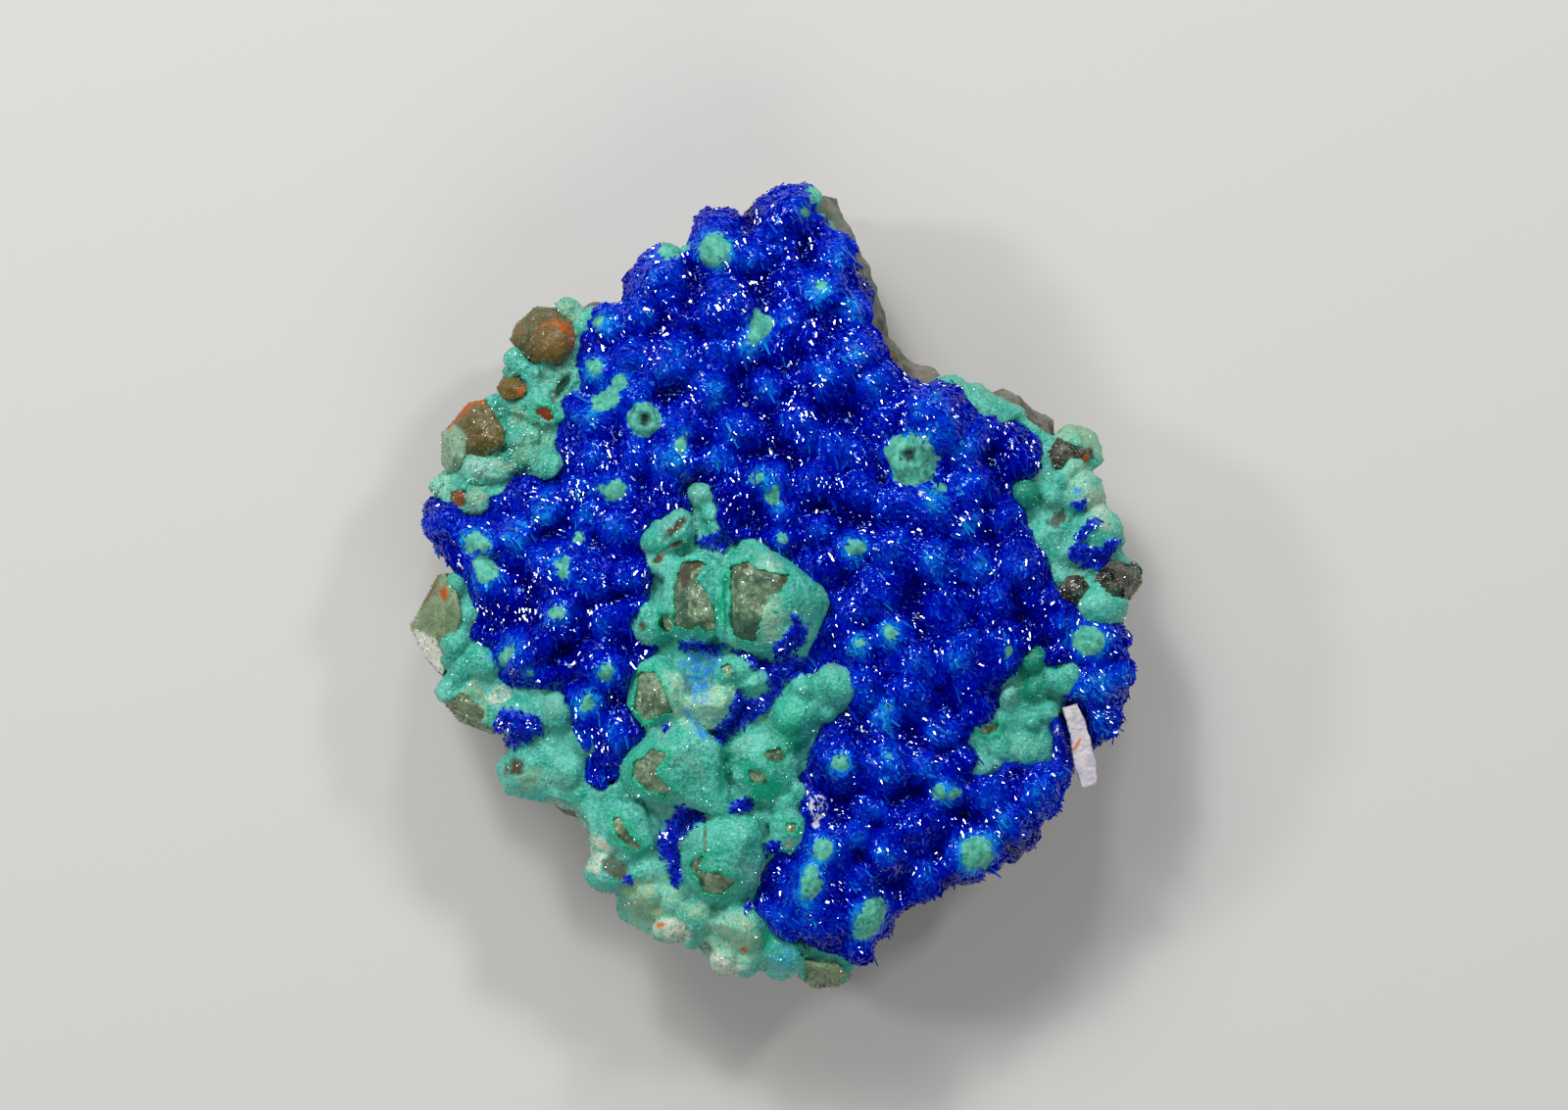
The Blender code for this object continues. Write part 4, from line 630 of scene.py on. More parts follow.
GREEN_SPOTS: tuple[Spot, ...] = (
    Spot(Tint.BLUE, -1.82, -11.1, 0.35, 1.6, 10), Spot(Tint.BLUE, -0.27, -13.35, 0.35),
    Spot(Tint.BLUE, -5.33, -7.08, 0.17), Spot(Tint.BLUE, 15.6, 4.1, 0.3),
    Spot(Tint.PALE, -2.2, -18.2, 1.5, fade=1.0, strength=0.95),
    Spot(Tint.PALE, -6.4, -16.2, 1.7, fade=1.2, wander=0.4, strength=0.55),
    Spot(Tint.PALE, 15.9, 5.0, 0.8, 2.2, 118, fade=0.5, wander=0.35, strength=0.8),
    Spot(Tint.WHITE, 16.6, 3.9, 0.45, 2.5, 118, fade=0.4, wander=0.3, strength=0.5),
    Spot(Tint.FROST, 15.4, 4.75, 0.25), Spot(Tint.JADE, 16.6, 2.9, 0.3, 1.6, 140, strength=0.6),
    Spot(Tint.OLIVE, -12.6, -9.9, 0.5, 1.6, 20, fade=0.3, wander=0.4, strength=0.6),
    Spot(Tint.OLIVE, -1.7, -17.6, 0.9, fade=0.8, wander=0.4, strength=0.5),
    Spot(Tint.RIM, -0.3, -18.1, 0.4, 2.2, 80, fade=0.4, strength=0.8),
    Spot(Tint.JADE, -3.15, -16.7, 0.3, 2.0, 100, fade=0.3, strength=0.8),
    Spot(Tint.BLUE, -7.6, -14.85, 0.17), Spot(Tint.BLUE, -1.25, -16.3, 0.22, 1.6, 60),
    Spot(Tint.WHITE, -3.7, -11.7, 0.13, 2.5, -20), Spot(Tint.STAIN, 0.55, -13.15, 0.12),
    Spot(Tint.JADE, -14.0, 8.9, 0.35, 1.6, 110, fade=0.3, strength=0.7),
    Spot(Tint.OLIVE, -13.3, 8.7, 0.4, 1.5, 100, fade=0.3, strength=0.8),
    Spot(Tint.WHITE, -14.9, 6.2, 0.7, 1.7, 5, fade=0.6, wander=0.5, strength=0.4),
    Spot(Tint.FROST, -15.1, 5.95, 0.14), Spot(Tint.PALE, -17.2, 5.0, 0.8, fade=0.5, strength=0.6),
    Spot(Tint.OLIVE, -15.1, 4.4, 0.55, 1.4, 90, fade=0.3, strength=0.8),
    Spot(Tint.OLIVE, -12.4, 7.4, 1.0, 1.2, 60, fade=0.9, wander=0.5, strength=0.35),
    Spot(Tint.WHITE, -11.4, 11.0, 0.6, 1.5, 20, fade=0.5, wander=0.4, strength=0.3),
    Spot(Tint.OLIVE, -11.0, 14.1, 0.7, 1.5, 170, fade=0.5, strength=0.7),
    Spot(Tint.JADE, -10.4, 13.7, 0.2, fade=0.2, strength=0.9),
    Spot(Tint.JADE, 12.9, -8.0, 1.5, fade=1.0, strength=0.4),
    Spot(Tint.RIM, 0.6, -6.7, 1.1, fade=0.9, strength=0.45),
    Spot(Tint.STAIN, -1.48, -18.68, 0.15), Spot(Tint.STAIN, -5.9, -17.3, 0.09, 2.6, 8, 0.06, 0.05),
    Spot(Tint.BROWN, -13.4, -9.3, 0.45, fade=0.4, wander=0.3),
    Spot(Tint.BROWN, -5.9, 1.3, 0.2, 1.3, 70),
    Spot(Tint.BROWN, 14.55, 3.4, 0.28, 2.0, 5, wander=0.5, strength=0.85),
    Spot(Tint.BROWN, -5.15, 2.8, 0.2, 4.0, 46, 0.1, 0.12),
    Spot(Tint.BROWN, -4.95, 2.0, 0.15, 2.6, 15),
    Spot(Tint.STAIN, -5.05, 1.95, 0.08, 2.5, 15), Spot(Tint.STAIN, -5.75, 1.5, 0.1),
    # Cracks painted dark green as shade.
    Spot(Tint.HOLLOW_SHADE, -3.62, -12.55, 0.06, 11.0, 92, 0.08, 0.05),
    Spot(Tint.HOLLOW_SHADE, -0.62, -12.5, 0.05, 7.0, 85, 0.08, 0.05),
    Spot(Tint.HOLLOW_SHADE, 1.55, -18.8, 0.05, 7.0, 120, 0.08, 0.05),
    Spot(Tint.WHITE, -14.1, -5.6, 0.45, 1.3, 30, wander=0.3), Spot(Tint.BROWN, -6.7, -2.0, 0.22),
    # A hole painted dark green as shade.
    Spot(Tint.HOLLOW_SHADE, -10.85, 10.35, 0.30, 2.6, 55, fade=0.1, wander=0.04),
    Spot(Tint.JADE, 12.7, 4.7, 0.9, fade=0.4),
    Spot(Tint.JADE, -13.4, 6.4, 0.7, fade=0.6), Spot(Tint.JADE, -2.6, -9.0, 0.35, 4.0, 85, 0.3),
    Spot(Tint.RIM, -0.6, -10.3, 0.55, 1.7, 10, fade=0.3),
    Spot(Tint.RIM, -2.62, -0.6, 0.16, 9.0, 88, fade=0.15),
    Spot(Tint.JADE, 0.9, -8.0, 0.8, fade=0.8),
    Spot(Tint.FROST, -14.0, -3.4, 0.5, fade=0.6),
    Spot(Tint.FROST, 0.6, -19.1, 0.8, fade=0.9, strength=0.4),
)


@dataclass(frozen=True)
class Cap:
    """A green cap on the blue crust: place, radius, stretch, turn and ragged edge."""

    x: float
    y: float
    radius: float
    stretch: float = 1.0
    turn: float = 0.0
    wander: float = 0.12


CAPS: tuple[Cap, ...] = (
    Cap(-3.1, 17.0, 0.8, wander=0.35), Cap(-0.75, 13.3, 0.65, wander=0.25),
    Cap(-1.2, 12.6, 0.3, 2.2, 62, 0.2), Cap(-9.1, 13.4, 0.28), Cap(-9.2, 11.3, 0.4, 1.3, 120),
    Cap(-7.9, 10.35, 0.42), Cap(-8.6, 9.45, 0.6, 1.2, 20, 0.2), Cap(-6.6, 8.4, 0.9, 1.0, 0, 0.1),
    Cap(-4.7, 7.1, 0.35, 1.4, 70), Cap(-8.3, 4.8, 0.55, 1.4, 0, 0.2), Cap(-0.2, 4.6, 0.42),
    Cap(-1.05, 5.5, 0.28), Cap(0.33, 2.45, 0.32), Cap(4.1, 1.9, 0.47), Cap(8.2, 4.9, 0.35),
    Cap(6.9, 6.4, 1.25, 1.1, 120, 0.3), Cap(-9.9, 2.35, 0.28), Cap(-10.7, 0.8, 0.4, 1.4, 80),
    Cap(-11.0, -1.35, 0.42), Cap(-13.56, -3.43, 0.32, 2.1, 60, 0.03), Cap(-8.4, -4.3, 0.45),
    Cap(-9.46, -5.8, 0.38, 1.2, 60), Cap(-10.55, -7.65, 0.33), Cap(4.2, -2.9, 0.27),
    Cap(5.7, -2.2, 0.36), Cap(3.3, -8.9, 0.42), Cap(5.8, -8.5, 0.2), Cap(5.7, -6.1, 0.2),
    Cap(8.4, -10.4, 0.4), Cap(9.2, -10.5, 0.35), Cap(10.3, -13.6, 0.9, 1.0, 0, 0.25),
    Cap(2.25, -13.35, 0.5, 1.1, 90, 0.2), Cap(1.8, -15.0, 0.5, 1.7, 85, 0.15),
    Cap(4.9, -16.9, 0.72, 1.6, 70, 0.15), Cap(11.7, -3.45, 0.26), Cap(1.6, 19.1, 0.22),
    Cap(2.2, 15.2, 0.28), Cap(-15.0, 2.2, 0.55, 1.2, 20, 0.25), Cap(-14.65, 0.8, 0.65),
    Cap(15.94, -2.78, 0.83, 1.0, 0, 0.05), Cap(-12.4, -4.3, 0.2), Cap(-5.2, 17.3, 0.5, 1.8, 20),
    Cap(2.6, 19.4, 0.4, 3.6, 128, 0.15),
)
PITS: tuple[Cap, ...] = (
    Cap(-6.6, 8.4, 0.36, 1.1, 60, 0.12), Cap(6.7, 6.7, 0.35, 1.2, 40, 0.3),
)
# Where the blue crust's larger shining crystals crowd together: x, y, radius.
GLINT_PLACES: tuple[Point3, ...] = (
    (2.9, 5.1, 0.9), (13.3, 6.1, 0.35), (13.1, 7.2, 0.4), (9.2, 3.2, 0.6), (4.5, 2.7, 0.5),
    (7.4, 8.2, 0.4), (9.0, 8.5, 0.5), (11.8, 8.3, 0.4), (5.0, 10.4, 0.5), (2.2, 10.4, 0.5),
    (1.6, 8.5, 0.5), (11.1, 2.7, 0.5), (8.5, 5.2, 0.4), (-10.8, 6.6, 0.7), (-8.9, 6.9, 0.6),
    (-9.3, 8.3, 0.4), (-11.4, 5.6, 0.5), (-10.0, 4.7, 0.7), (-8.8, 4.0, 0.6), (-12.0, -3.5, 0.6),
    (-8.9, -7.9, 0.9), (-10.1, -7.4, 0.7), (-14.5, -1.2, 0.8), (-12.8, -1.3, 0.8),
    (-10.9, -0.2, 0.7), (-12.0, 0.6, 0.7), (-16.0, 1.0, 0.6), (1.5, -16.4, 0.4),
    (2.7, -16.0, 0.5), (-0.5, -16.0, 0.5), (3.1, -15.2, 0.5), (1.9, -18.0, 0.5),
    (4.4, -18.7, 0.6), (4.7, -15.7, 0.5), (13.2, -1.5, 0.9), (12.8, -3.0, 0.6),
    (17.2, -2.6, 0.5), (16.6, -6.5, 0.8), (16.2, -4.6, 0.6), (3.0, -2.6, 0.6), (4.2, -1.6, 0.5),
    (-3.0, 14.0, 0.8), (-1.8, 14.8, 0.6), (3.6, 12.2, 0.7), (2.4, 16.4, 0.6), (6.6, -15.8, 0.7),
    (8.8, -14.9, 0.6), (13.0, -11.4, 0.7), (10.6, -11.6, 0.6), (6.6, -3.9, 0.7), (7.0, -8.3, 0.7),
    (-5.9, 4.9, 0.8), (-3.2, 5.6, 0.7), (-6.0, 6.9, 0.5), (0.4, 9.0, 0.5), (-4.0, 9.2, 0.6),
)
# White grains that lie on the blue crust.
WHITE_GRAINS: tuple[Cap, ...] = (
    Cap(7.3, 4.6, 0.2), Cap(-1.4, 9.2, 0.14), Cap(2.1, -11.3, 0.48, 1.4, 75, 0.3),
    Cap(1.9, -12.2, 0.22),
    Cap(14.3, -7.4, 0.14, 2.5, 60), Cap(1.75, -10.7, 0.16),
)


# --- arithmetic on points ---------------------------------------------------------------
def smooth(low: float, high: float, value: np.ndarray) -> np.ndarray:
    """0 below low, 1 above high and an even slope between, for each value."""
    share = np.clip((value - low) / (high - low), 0.0, 1.0)
    return share * share * (3.0 - 2.0 * share)


def unit(vectors: np.ndarray) -> np.ndarray:
    """Vectors scaled to the length of one."""
    return vectors / np.linalg.norm(vectors, axis=-1, keepdims=True)


def roughness_of(points: np.ndarray, span: float, octaves: int = 3) -> np.ndarray:
    """Fractal noise of a given wavelength at each point, about -1 to 1."""
    return np.array([noise.fractal(place, 1.0, 2.0, octaves) for place in (points / span).tolist()])


def strays(points: np.ndarray, span: float) -> np.ndarray:
    """A smooth chance vector of a given wavelength at each point."""
    return np.array([noise.noise_vector(place) for place in (points / span).tolist()])


def bend(points: np.ndarray) -> np.ndarray:
    """Bend points from the flat bed to the domed, uneven front.

    Args:
        points: Places over the flat bed, one row each, in millimetres.

    Returns:
        The same places on the specimen.
    """
    share = smooth(*DOME_FADE, points[:, 2])
    across = (points[:, 0] - DOME_CENTRE[0]) / DOME_RADII[0]
    along = (points[:, 1] - DOME_CENTRE[1]) / DOME_RADII[1]
    dome = DOME_RISE * np.maximum(0.0, 1.0 - across**2 - along**2)
    wobble = WOBBLE * strays(points * (1.0, 1.0, 0.0), WOBBLE_SPAN)
    out = points.copy()
    out[:, :2] += wobble[:, :2]
    out[:, 2] += share * (dome + wobble[:, 2])
    return out


def edge_distance(points: np.ndarray, outline: Outline) -> tuple[np.ndarray, np.ndarray]:
    """How far points lie inside an outline, seen from above.

    Args:
        points: Places, one row each.
        outline: A closed outline's corners.

    Returns:
        Distance to the outline, positive inside, and the nearest place on it.
    """
    x, y = points[:, 0], points[:, 1]
    best = np.full(len(points), np.inf)
    nearest = np.zeros((len(points), 2))
    inside = np.zeros(len(points), bool)
    corners = np.array(outline)
    for start, end in zip(corners, np.roll(corners, -1, axis=0)):
        run = end - start
        share = np.clip(((x - start[0]) * run[0] + (y - start[1]) * run[1]) / (run @ run), 0, 1)
        foot = start + share[:, None] * run
        gap = np.hypot(x - foot[:, 0], y - foot[:, 1])
        closer = gap < best
        best[closer] = gap[closer]
        nearest[closer] = foot[closer]
        if run[1] != 0.0:
            crosses = (start[1] > y) != (end[1] > y)
            inside ^= crosses & (x < start[0] + (y - start[1]) / run[1] * run[0])
    return np.where(inside, best, -best), nearest


def sides(outline: Outline) -> Iterable[tuple[Vector, Vector]]:
    """An outline's sides, each as its two ends."""
    corners = [Vector(corner) for corner in outline]
    return zip(corners, corners[1:] + corners[:1])


def side_distance(point: Vector, start: Vector, end: Vector) -> float:
    """Distance from a point to a side, or infinity where the point lies past its ends."""
    nearest, share = geometry.intersect_point_line(point, start, end)
    return (nearest.xy - point).length if 0.0 <= share <= 1.0 else math.inf


def on_rim(point: Vector) -> bool:
    """Whether a point of a crust's outline lies on the specimen's own outline."""
    return any(min(side_distance(point, start, end), (start - point).length) < RIM_REACH
               for start, end in sides(SPECIMEN_OUTLINE))


def drawn_in(point: Vector, by: float) -> Vector:
    """A point moved towards the middle of the specimen."""
    return point * (1.0 - by / point.length)


def ragged(outline: Outline) -> Outline:
    """An outline with small corners set in its sides, which stray like a broken edge."""
    layer, scale = RAGGED_PLACE
    out = []
    for start, end in sides(outline):
        steps = max(1, round((end - start).length / RAGGED_STEP))
        for step in range(steps):
            place = start.lerp(end, step / steps)
            stray = noise.noise_vector(Vector((*place, layer)) * scale) * RAGGED_REACH
            out.append(tuple(place + stray.xy))
    return tuple(out)


def socket_of(form: BareForm, inset: float) -> Outline:
    """A bare crystal's outline drawn in a little, but drawn out across the specimen's rim."""
    corners = [Vector(corner) for corner in form.faces.outline()]
    middle = sum(corners, Vector((0.0, 0.0))) / len(corners)
    return tuple(
        tuple(drawn_in(corner, -1.0) if on_rim(corner) and not form.walled
              else corner - (corner - middle).normalized() * inset)
        for corner in corners)


def oval_distance(points: np.ndarray, spot: Spot | Cap) -> np.ndarray:
    """How far points lie inside an oval patch, seen from above, in millimetres."""
    angle = math.radians(spot.turn)
    dx, dy = points[:, 0] - spot.x, points[:, 1] - spot.y
    along = (dx * math.cos(angle) + dy * math.sin(angle)) / spot.stretch
    across = dy * math.cos(angle) - dx * math.sin(angle)
    return spot.radius - np.hypot(along, across)


def golden(index: int) -> float:
    """An even scatter of shares between 0 and 1, the same on each run."""
    return (index * GOLDEN_SHARE) % 1.0


def between(limits: Point2, share: float | np.ndarray) -> float | np.ndarray:
    """The value that lies a share of the way between two limits."""
    return limits[0] + (limits[1] - limits[0]) * share


# --- meshes and objects -----------------------------------------------------------------
def mesh_from(bm: bmesh.types.BMesh, name: str) -> bpy.types.Mesh:
    """The mesh of a bmesh, which is freed."""
    mesh = bpy.data.meshes.new(name)
    bm.to_mesh(mesh)
    bm.free()
    return mesh


def added(name: str, data: bpy.types.ID) -> bpy.types.Object:
    """A new object in the scene."""
    obj = bpy.data.objects.new(name, data)
    bpy.context.scene.collection.objects.link(obj)
    return obj


def melted(bm: bmesh.types.BMesh, name: str, voxel: float) -> bpy.types.Mesh:
    """Melt the overlapping shapes of a bmesh into one closed, even skin.

    Args:
        bm: The shapes; it is freed.
        name: The mesh's name.
        voxel: Size of the skin's faces.

    Returns:
        The skin.
    """
    obj = added(name + "_form", mesh_from(bm, name + "_form"))
    melt = obj.modifiers.new("melt", "REMESH")
    melt.mode = "VOXEL"
    melt.voxel_size = voxel
    depsgraph = bpy.context.evaluated_depsgraph_get()
    out = bpy.data.meshes.new_from_object(obj.evaluated_get(depsgraph))
    bpy.data.objects.remove(obj)
    out.name = name
    return out


def vectors_of(items: bpy.types.bpy_prop_collection, label: str) -> np.ndarray:
    """A vector property of each item, one row each."""
    flat = np.empty(len(items) * 3)
    items.foreach_get(label, flat)
    return flat.reshape(-1, 3)


def points_of(obj: bpy.types.Object) -> np.ndarray:
    """An object's points, in millimetres."""
    return vectors_of(obj.data.vertices, "co") / METRES_PER_MM


def write_attribute(mesh: bpy.types.Mesh, name: str, values: np.ndarray) -> None:
    """Store a value for each point as a mesh attribute."""
    attribute = mesh.attributes.new(name, "FLOAT", "POINT")
    attribute.data.foreach_set("value", values.astype(np.float32))


def read_attribute(obj: bpy.types.Object, name: str) -> np.ndarray:
    """A mesh attribute's values."""
    values = np.empty(len(obj.data.vertices))
    obj.data.attributes[name].data.foreach_get("value", values)
    return values


def verts_among(items: Iterable) -> list[bmesh.types.BMVert]:
    """The vertices among what a bmesh operator made."""
    return [item for item in items if isinstance(item, bmesh.types.BMVert)]


# --- forms over the flat bed ------------------------------------------------------------
class Relief:
    """A closed form over the flat bed, melted together from simple shapes."""

    def __init__(self, name: str) -> None:
        """Start an empty form."""
        self.name = name
        self.bm = bmesh.new()

    def add_bed(self, outline: Outline, low: float, high: float) -> None:
        """Add the crust's bed between two heights, kept inside its rim lobes."""
        points = [Vector(point) for point in outline]
        kept = [drawn_in(point, RIM_INSET) if on_rim(point) else point for point in points]
        face = self.bm.faces.new([self.bm.verts.new((*point, low)) for point in kept])
        made = bmesh.ops.extrude_face_region(self.bm, geom=[face], use_keep_orig=True)
        bmesh.ops.translate(self.bm, verts=verts_among(made["geom"]), vec=(0.0, 0.0, high - low))
        bmesh.ops.recalc_face_normals(self.bm, faces=self.bm.faces[:])

    def add_ball(self, x: float, y: float, z: float, radius: float, stretch: float = 1.0,
                 fineness: int = 3) -> None:
        """Add a round lobe, stretched upwards."""
        place = Matrix.Translation((x, y, z)) @ Matrix.Diagonal((1.0, 1.0, stretch, 1.0))
        bmesh.ops.create_icosphere(self.bm, subdivisions=fineness, radius=radius, matrix=place)

    def add_lobes(self, lobes: Iterable[Lobe]) -> None:
        """Add round lobes over the bed."""
        for lobe in lobes:
            self.add_ball(lobe.x, lobe.y, BED_TOP + lobe.rise, lobe.radius)

    def add_rim(self, outline: Outline, gap: float = RIM_STEP,
                clear: Sequence[Outline] = ()) -> None:
        """Add lobes of mixed size and height along the outer rim of a crust.

        Args:
            outline: The crust's outline.
            gap: Their spacing.
            clear: Outlines of bare crystals, where no lobe stands.
        """
        count = 0
        for start, end in sides(outline):
            if not (on_rim(start) and on_rim(end)):
                continue
            steps = max(1, round((end - start).length / gap))
            for step in range(steps):
                count += 1
                radius = between(RIM_RADII, golden(count))
                place = drawn_in(start.lerp(end, step / steps), radius)
                spot = np.array([[place.x, place.y, 0.0]])
                if any(edge_distance(spot, bare)[0][0] > -RIM_CLEARANCE * radius for bare in clear):
                    continue
                height = CRUST_BOTTOM + between(RIM_HEIGHTS, golden(7 * count))
                self.add_ball(place.x, place.y, height, radius, 1.0, 2)

    def add_coated(self, site: Coated) -> None:
        """Add an even six-sided crystal with a low six-sided tip."""
        tip = COAT_TIP * site.radius
        shaft = BED_TOP - CRUST_BOTTOM + site.rise - tip
        made = bmesh.ops.create_cone(
            self.bm, cap_ends=True, segments=6, radius1=site.radius, radius2=site.radius,
            depth=shaft, matrix=Matrix.Translation((0.0, 0.0, shaft / 2)))
        top = max((face for vertex in made["verts"] for face in vertex.link_faces),
                  key=lambda face: face.calc_center_median().z)
        poked = bmesh.ops.poke(self.bm, faces=[top], offset=tip)
        side = math.radians(site.toward)
        axis = Vector((-math.sin(side), math.cos(side), 0.0))
        place = (Matrix.Translation((site.x, site.y, CRUST_BOTTOM))
                 @ (Matrix.Rotation(math.radians(site.lean), 4, axis)
                    @ Matrix.Rotation(math.radians(site.turn), 4, "Z")))
        bmesh.ops.transform(self.bm, matrix=place, verts=made["verts"] + poked["verts"])

    def add_facets(self, crystal: Facets, foot: float = CRUST_BOTTOM, within: float = 0.0) -> None:
        """Add a crystal with uneven faces.

        Args:
            crystal: Its corners.
            foot: Height of its foot.
            within: How far all its faces are drawn in, for the quartz under a coat.
        """
        middle = Vector((sum(c[0] for c in crystal.shoulder), sum(c[1] for c in crystal.shoulder)))
        middle /= len(crystal.shoulder)
        bm = bmesh.new()
        for x, y, height in crystal.shoulder:
            corner = Vector((x, y))
            corner -= (corner - middle).normalized() * within
            bm.verts.new((*corner, foot))
            bm.verts.new((*corner, BED_TOP + height - within))
        for x, y, height in crystal.crest:
            bm.verts.new((x, y, BED_TOP + height - within))
        hull = bmesh.ops.convex_hull(bm, input=bm.verts[:])
        bmesh.ops.delete(bm, geom=verts_among(hull["geom_interior"]), context="VERTS")
        bmesh.ops.recalc_face_normals(bm, faces=bm.faces[:])
        mesh = mesh_from(bm, "facets")
        self.bm.from_mesh(mesh)
        bpy.data.meshes.remove(mesh)

    def melt(self, voxel: float) -> Skin:
        """Melt the form into one skin of small faces."""
        return Skin(melted(self.bm, self.name, voxel))


class Skin:
    """A melted form's points, worked on as arrays before they are bent and scaled."""

    def __init__(self, mesh: bpy.types.Mesh) -> None:
        """Read the points of a mesh."""
        self.mesh = mesh
        self.points = vectors_of(mesh.vertices, "co")

    def push(self, by: np.ndarray) -> None:
        """Move each point out along its normal."""
        self.mesh.vertices.foreach_set("co", self.points.ravel())
        self.mesh.update()
        self.points += vectors_of(self.mesh.vertex_normals, "vector") * by[:, None]

    def mark(self, name: str, values: np.ndarray) -> None:
        """Store a value for each point as a mesh attribute."""
        write_attribute(self.mesh, name, values)

    def open_up(self, opening: Opening) -> np.ndarray:
        """Open the coat: points at the edge snap to the outline, those inside sink.

        Returns:
            How far each point lies inside the outline.
        """
        inside, nearest = edge_distance(self.points, ragged(opening.outline))
        top = self.points[:, 2] > BED_TOP - FRONT_DEPTH
        edge = top & (np.abs(inside) < 0.6 * WINDOW_WALL)
        self.points[edge, :2] = nearest[edge]
        inside[edge] = 0.0
        self.points[:, 2] -= opening.depth * smooth(0.0, WINDOW_WALL, inside) * top
        return np.where(top, inside, OUTSIDE)

    def finish(self, bent: bool = True) -> bpy.types.Object:
        """Bend the points to the front, scale them to metres and make the object."""
        points = bend(self.points) if bent else self.points
        self.mesh.vertices.foreach_set("co", (points * METRES_PER_MM).ravel())
        self.mesh.update()
        self.mesh.shade_smooth()
        return added(self.mesh.name, self.mesh)


class HeightMap:
    """Heights over the flat bed on a fine grid, with its step and its reach."""

    step = 0.15
    reach = 22.5

    def __init__(self) -> None:
        """Start level."""
        axis = np.arange(-self.reach, self.reach + self.step, self.step)
        self.x, self.y = np.meshgrid(axis, axis, indexing="ij")
        self.height = np.full(self.x.shape, BED_TOP)

    def add_dome(self, x: float, y: float, z: float, radius: float, stretch: float) -> None:
        """Raise the heights to a ball's upper side."""
        rest = radius**2 - (self.x - x) ** 2 - (self.y - y) ** 2
        dome = np.where(rest > 0, z + stretch * np.sqrt(np.maximum(rest, 0.0)), BED_TOP)
        self.height = np.maximum(self.height, dome)

    def softened(self, reach: float, points: np.ndarray) -> np.ndarray:
        """The heights at some places, evened out over a distance."""
        span = np.arange(-round(3 * reach / self.step), round(3 * reach / self.step) + 1)
        kernel = np.exp(-0.5 * (span * self.step / reach) ** 2)
        kernel /= kernel.sum()
        heights = self.height - BED_TOP
        for axis in (0, 1):
            heights = np.apply_along_axis(np.convolve, axis, heights, kernel, "same")
        heights = heights + BED_TOP
        place = np.clip((points[:, :2] + self.reach) / self.step, 0, heights.shape[0] - 1.001)
        low = place.astype(int)
        (i, j), (u, v) = low.T, (place - low).T
        return ((heights[i, j] * (1 - u) + heights[i + 1, j] * u) * (1 - v)
                + (heights[i, j + 1] * (1 - u) + heights[i + 1, j + 1] * u) * v)


# --- shaders ----------------------------------------------------------------------------
@dataclass(frozen=True)
class Effect:
    """A shader node group that several materials share.

    A link is written as node.socket > node.socket, where "given" and "result" are the
    group's own ends and a number stands for a socket's place.
    """

    name: str
    inputs: dict[str, float]
    output: str
    kind: str
    nodes: dict[str, str]
    links: str
    settings: tuple[tuple[str, str | int, object], ...] = ()

    def build(self) -> bpy.types.NodeTree:
        """Make the group."""
        tree = bpy.data.node_groups.new(self.name, "ShaderNodeTree")
        for label, value in self.inputs.items():
            made = tree.interface.new_socket(label, in_out="INPUT", socket_type="NodeSocketFloat")
            made.default_value = value
        tree.interface.new_socket(self.output, in_out="OUTPUT", socket_type=self.kind)
        nodes = {"given": tree.nodes.new("NodeGroupInput"),
                 "result": tree.nodes.new("NodeGroupOutput")}
        for label, kind in self.nodes.items():
            nodes[label] = tree.nodes.new("ShaderNode" + kind)
        for label, setting, value in self.settings:
            if isinstance(setting, int) or setting in nodes[label].inputs:
                nodes[label].inputs[setting].default_value = value
            else:
                setattr(nodes[label], setting, value)
        for link in self.links.split(","):
            ends = [end.strip().split(".") for end in link.split(">")]
            (source, out), (target, into) = (
                (nodes[node], int(socket) if socket.isdigit() else socket) for node, socket in ends)
            tree.links.new(source.outputs[out], target.inputs[into])
        return tree


EFFECTS: tuple[Effect, ...] = (
    # A cloudy mask between two thresholds.
    Effect("cloud", {"Scale": 1000.0, "Low": 0.4, "High": 0.6}, "Mask", "NodeSocketFloat",
           {"place": "TexCoord", "cloud": "TexNoise", "spread": "MapRange"},
           """place.Object > cloud.Vector, given.Scale > cloud.Scale,
           cloud.Fac > spread.Value, given.Low > spread.From Min,
           given.High > spread.From Max, spread.Result > result.Mask""",
           (("cloud", "Detail", 5.0), ("cloud", "Roughness", 0.6),
            ("spread", "interpolation_type", "SMOOTHSTEP"))),
    # The height of a sugary crystalline grain.
    Effect("grain", {"Scale": 6000.0, "Edge": 0.5}, "Height", "NodeSocketFloat",
           {"place": "TexCoord", "cells": "TexVoronoi", "fine": "TexNoise", "share": "Mix"},
           """place.Object > cells.Vector, place.Object > fine.Vector,
           given.Scale > cells.Scale, given.Scale > fine.Scale, given.Edge > share.0,
           fine.Fac > share.2, cells.Distance > share.3, share.0 > result.Height""",
           (("fine", "Detail", 4.0),)),
    # A surface normal that is tilted by a chance amount in each small cell.
    Effect("facets", {"Scale": 6000.0, "Tilt": 0.5}, "Normal", "NodeSocketVector",
           {"place": "TexCoord", "cells": "TexVoronoi", "surface": "NewGeometry",
            "centred": "VectorMath", "tilted": "VectorMath", "added": "VectorMath",
            "unit": "VectorMath"},
           """place.Object > cells.Vector, given.Scale > cells.Scale,
           cells.Color > centred.0, centred.0 > tilted.0, given.Tilt > tilted.Scale,
           tilted.0 > added.0, surface.Normal > added.1, added.0 > unit.0,
           unit.0 > result.Normal""",
           (("centred", "operation", "SUBTRACT"), ("centred", 1, (0.5, 0.5, 0.5)),
            ("tilted", "operation", "SCALE"), ("added", "operation", "ADD"),
            ("unit", "operation", "NORMALIZE"))),
)
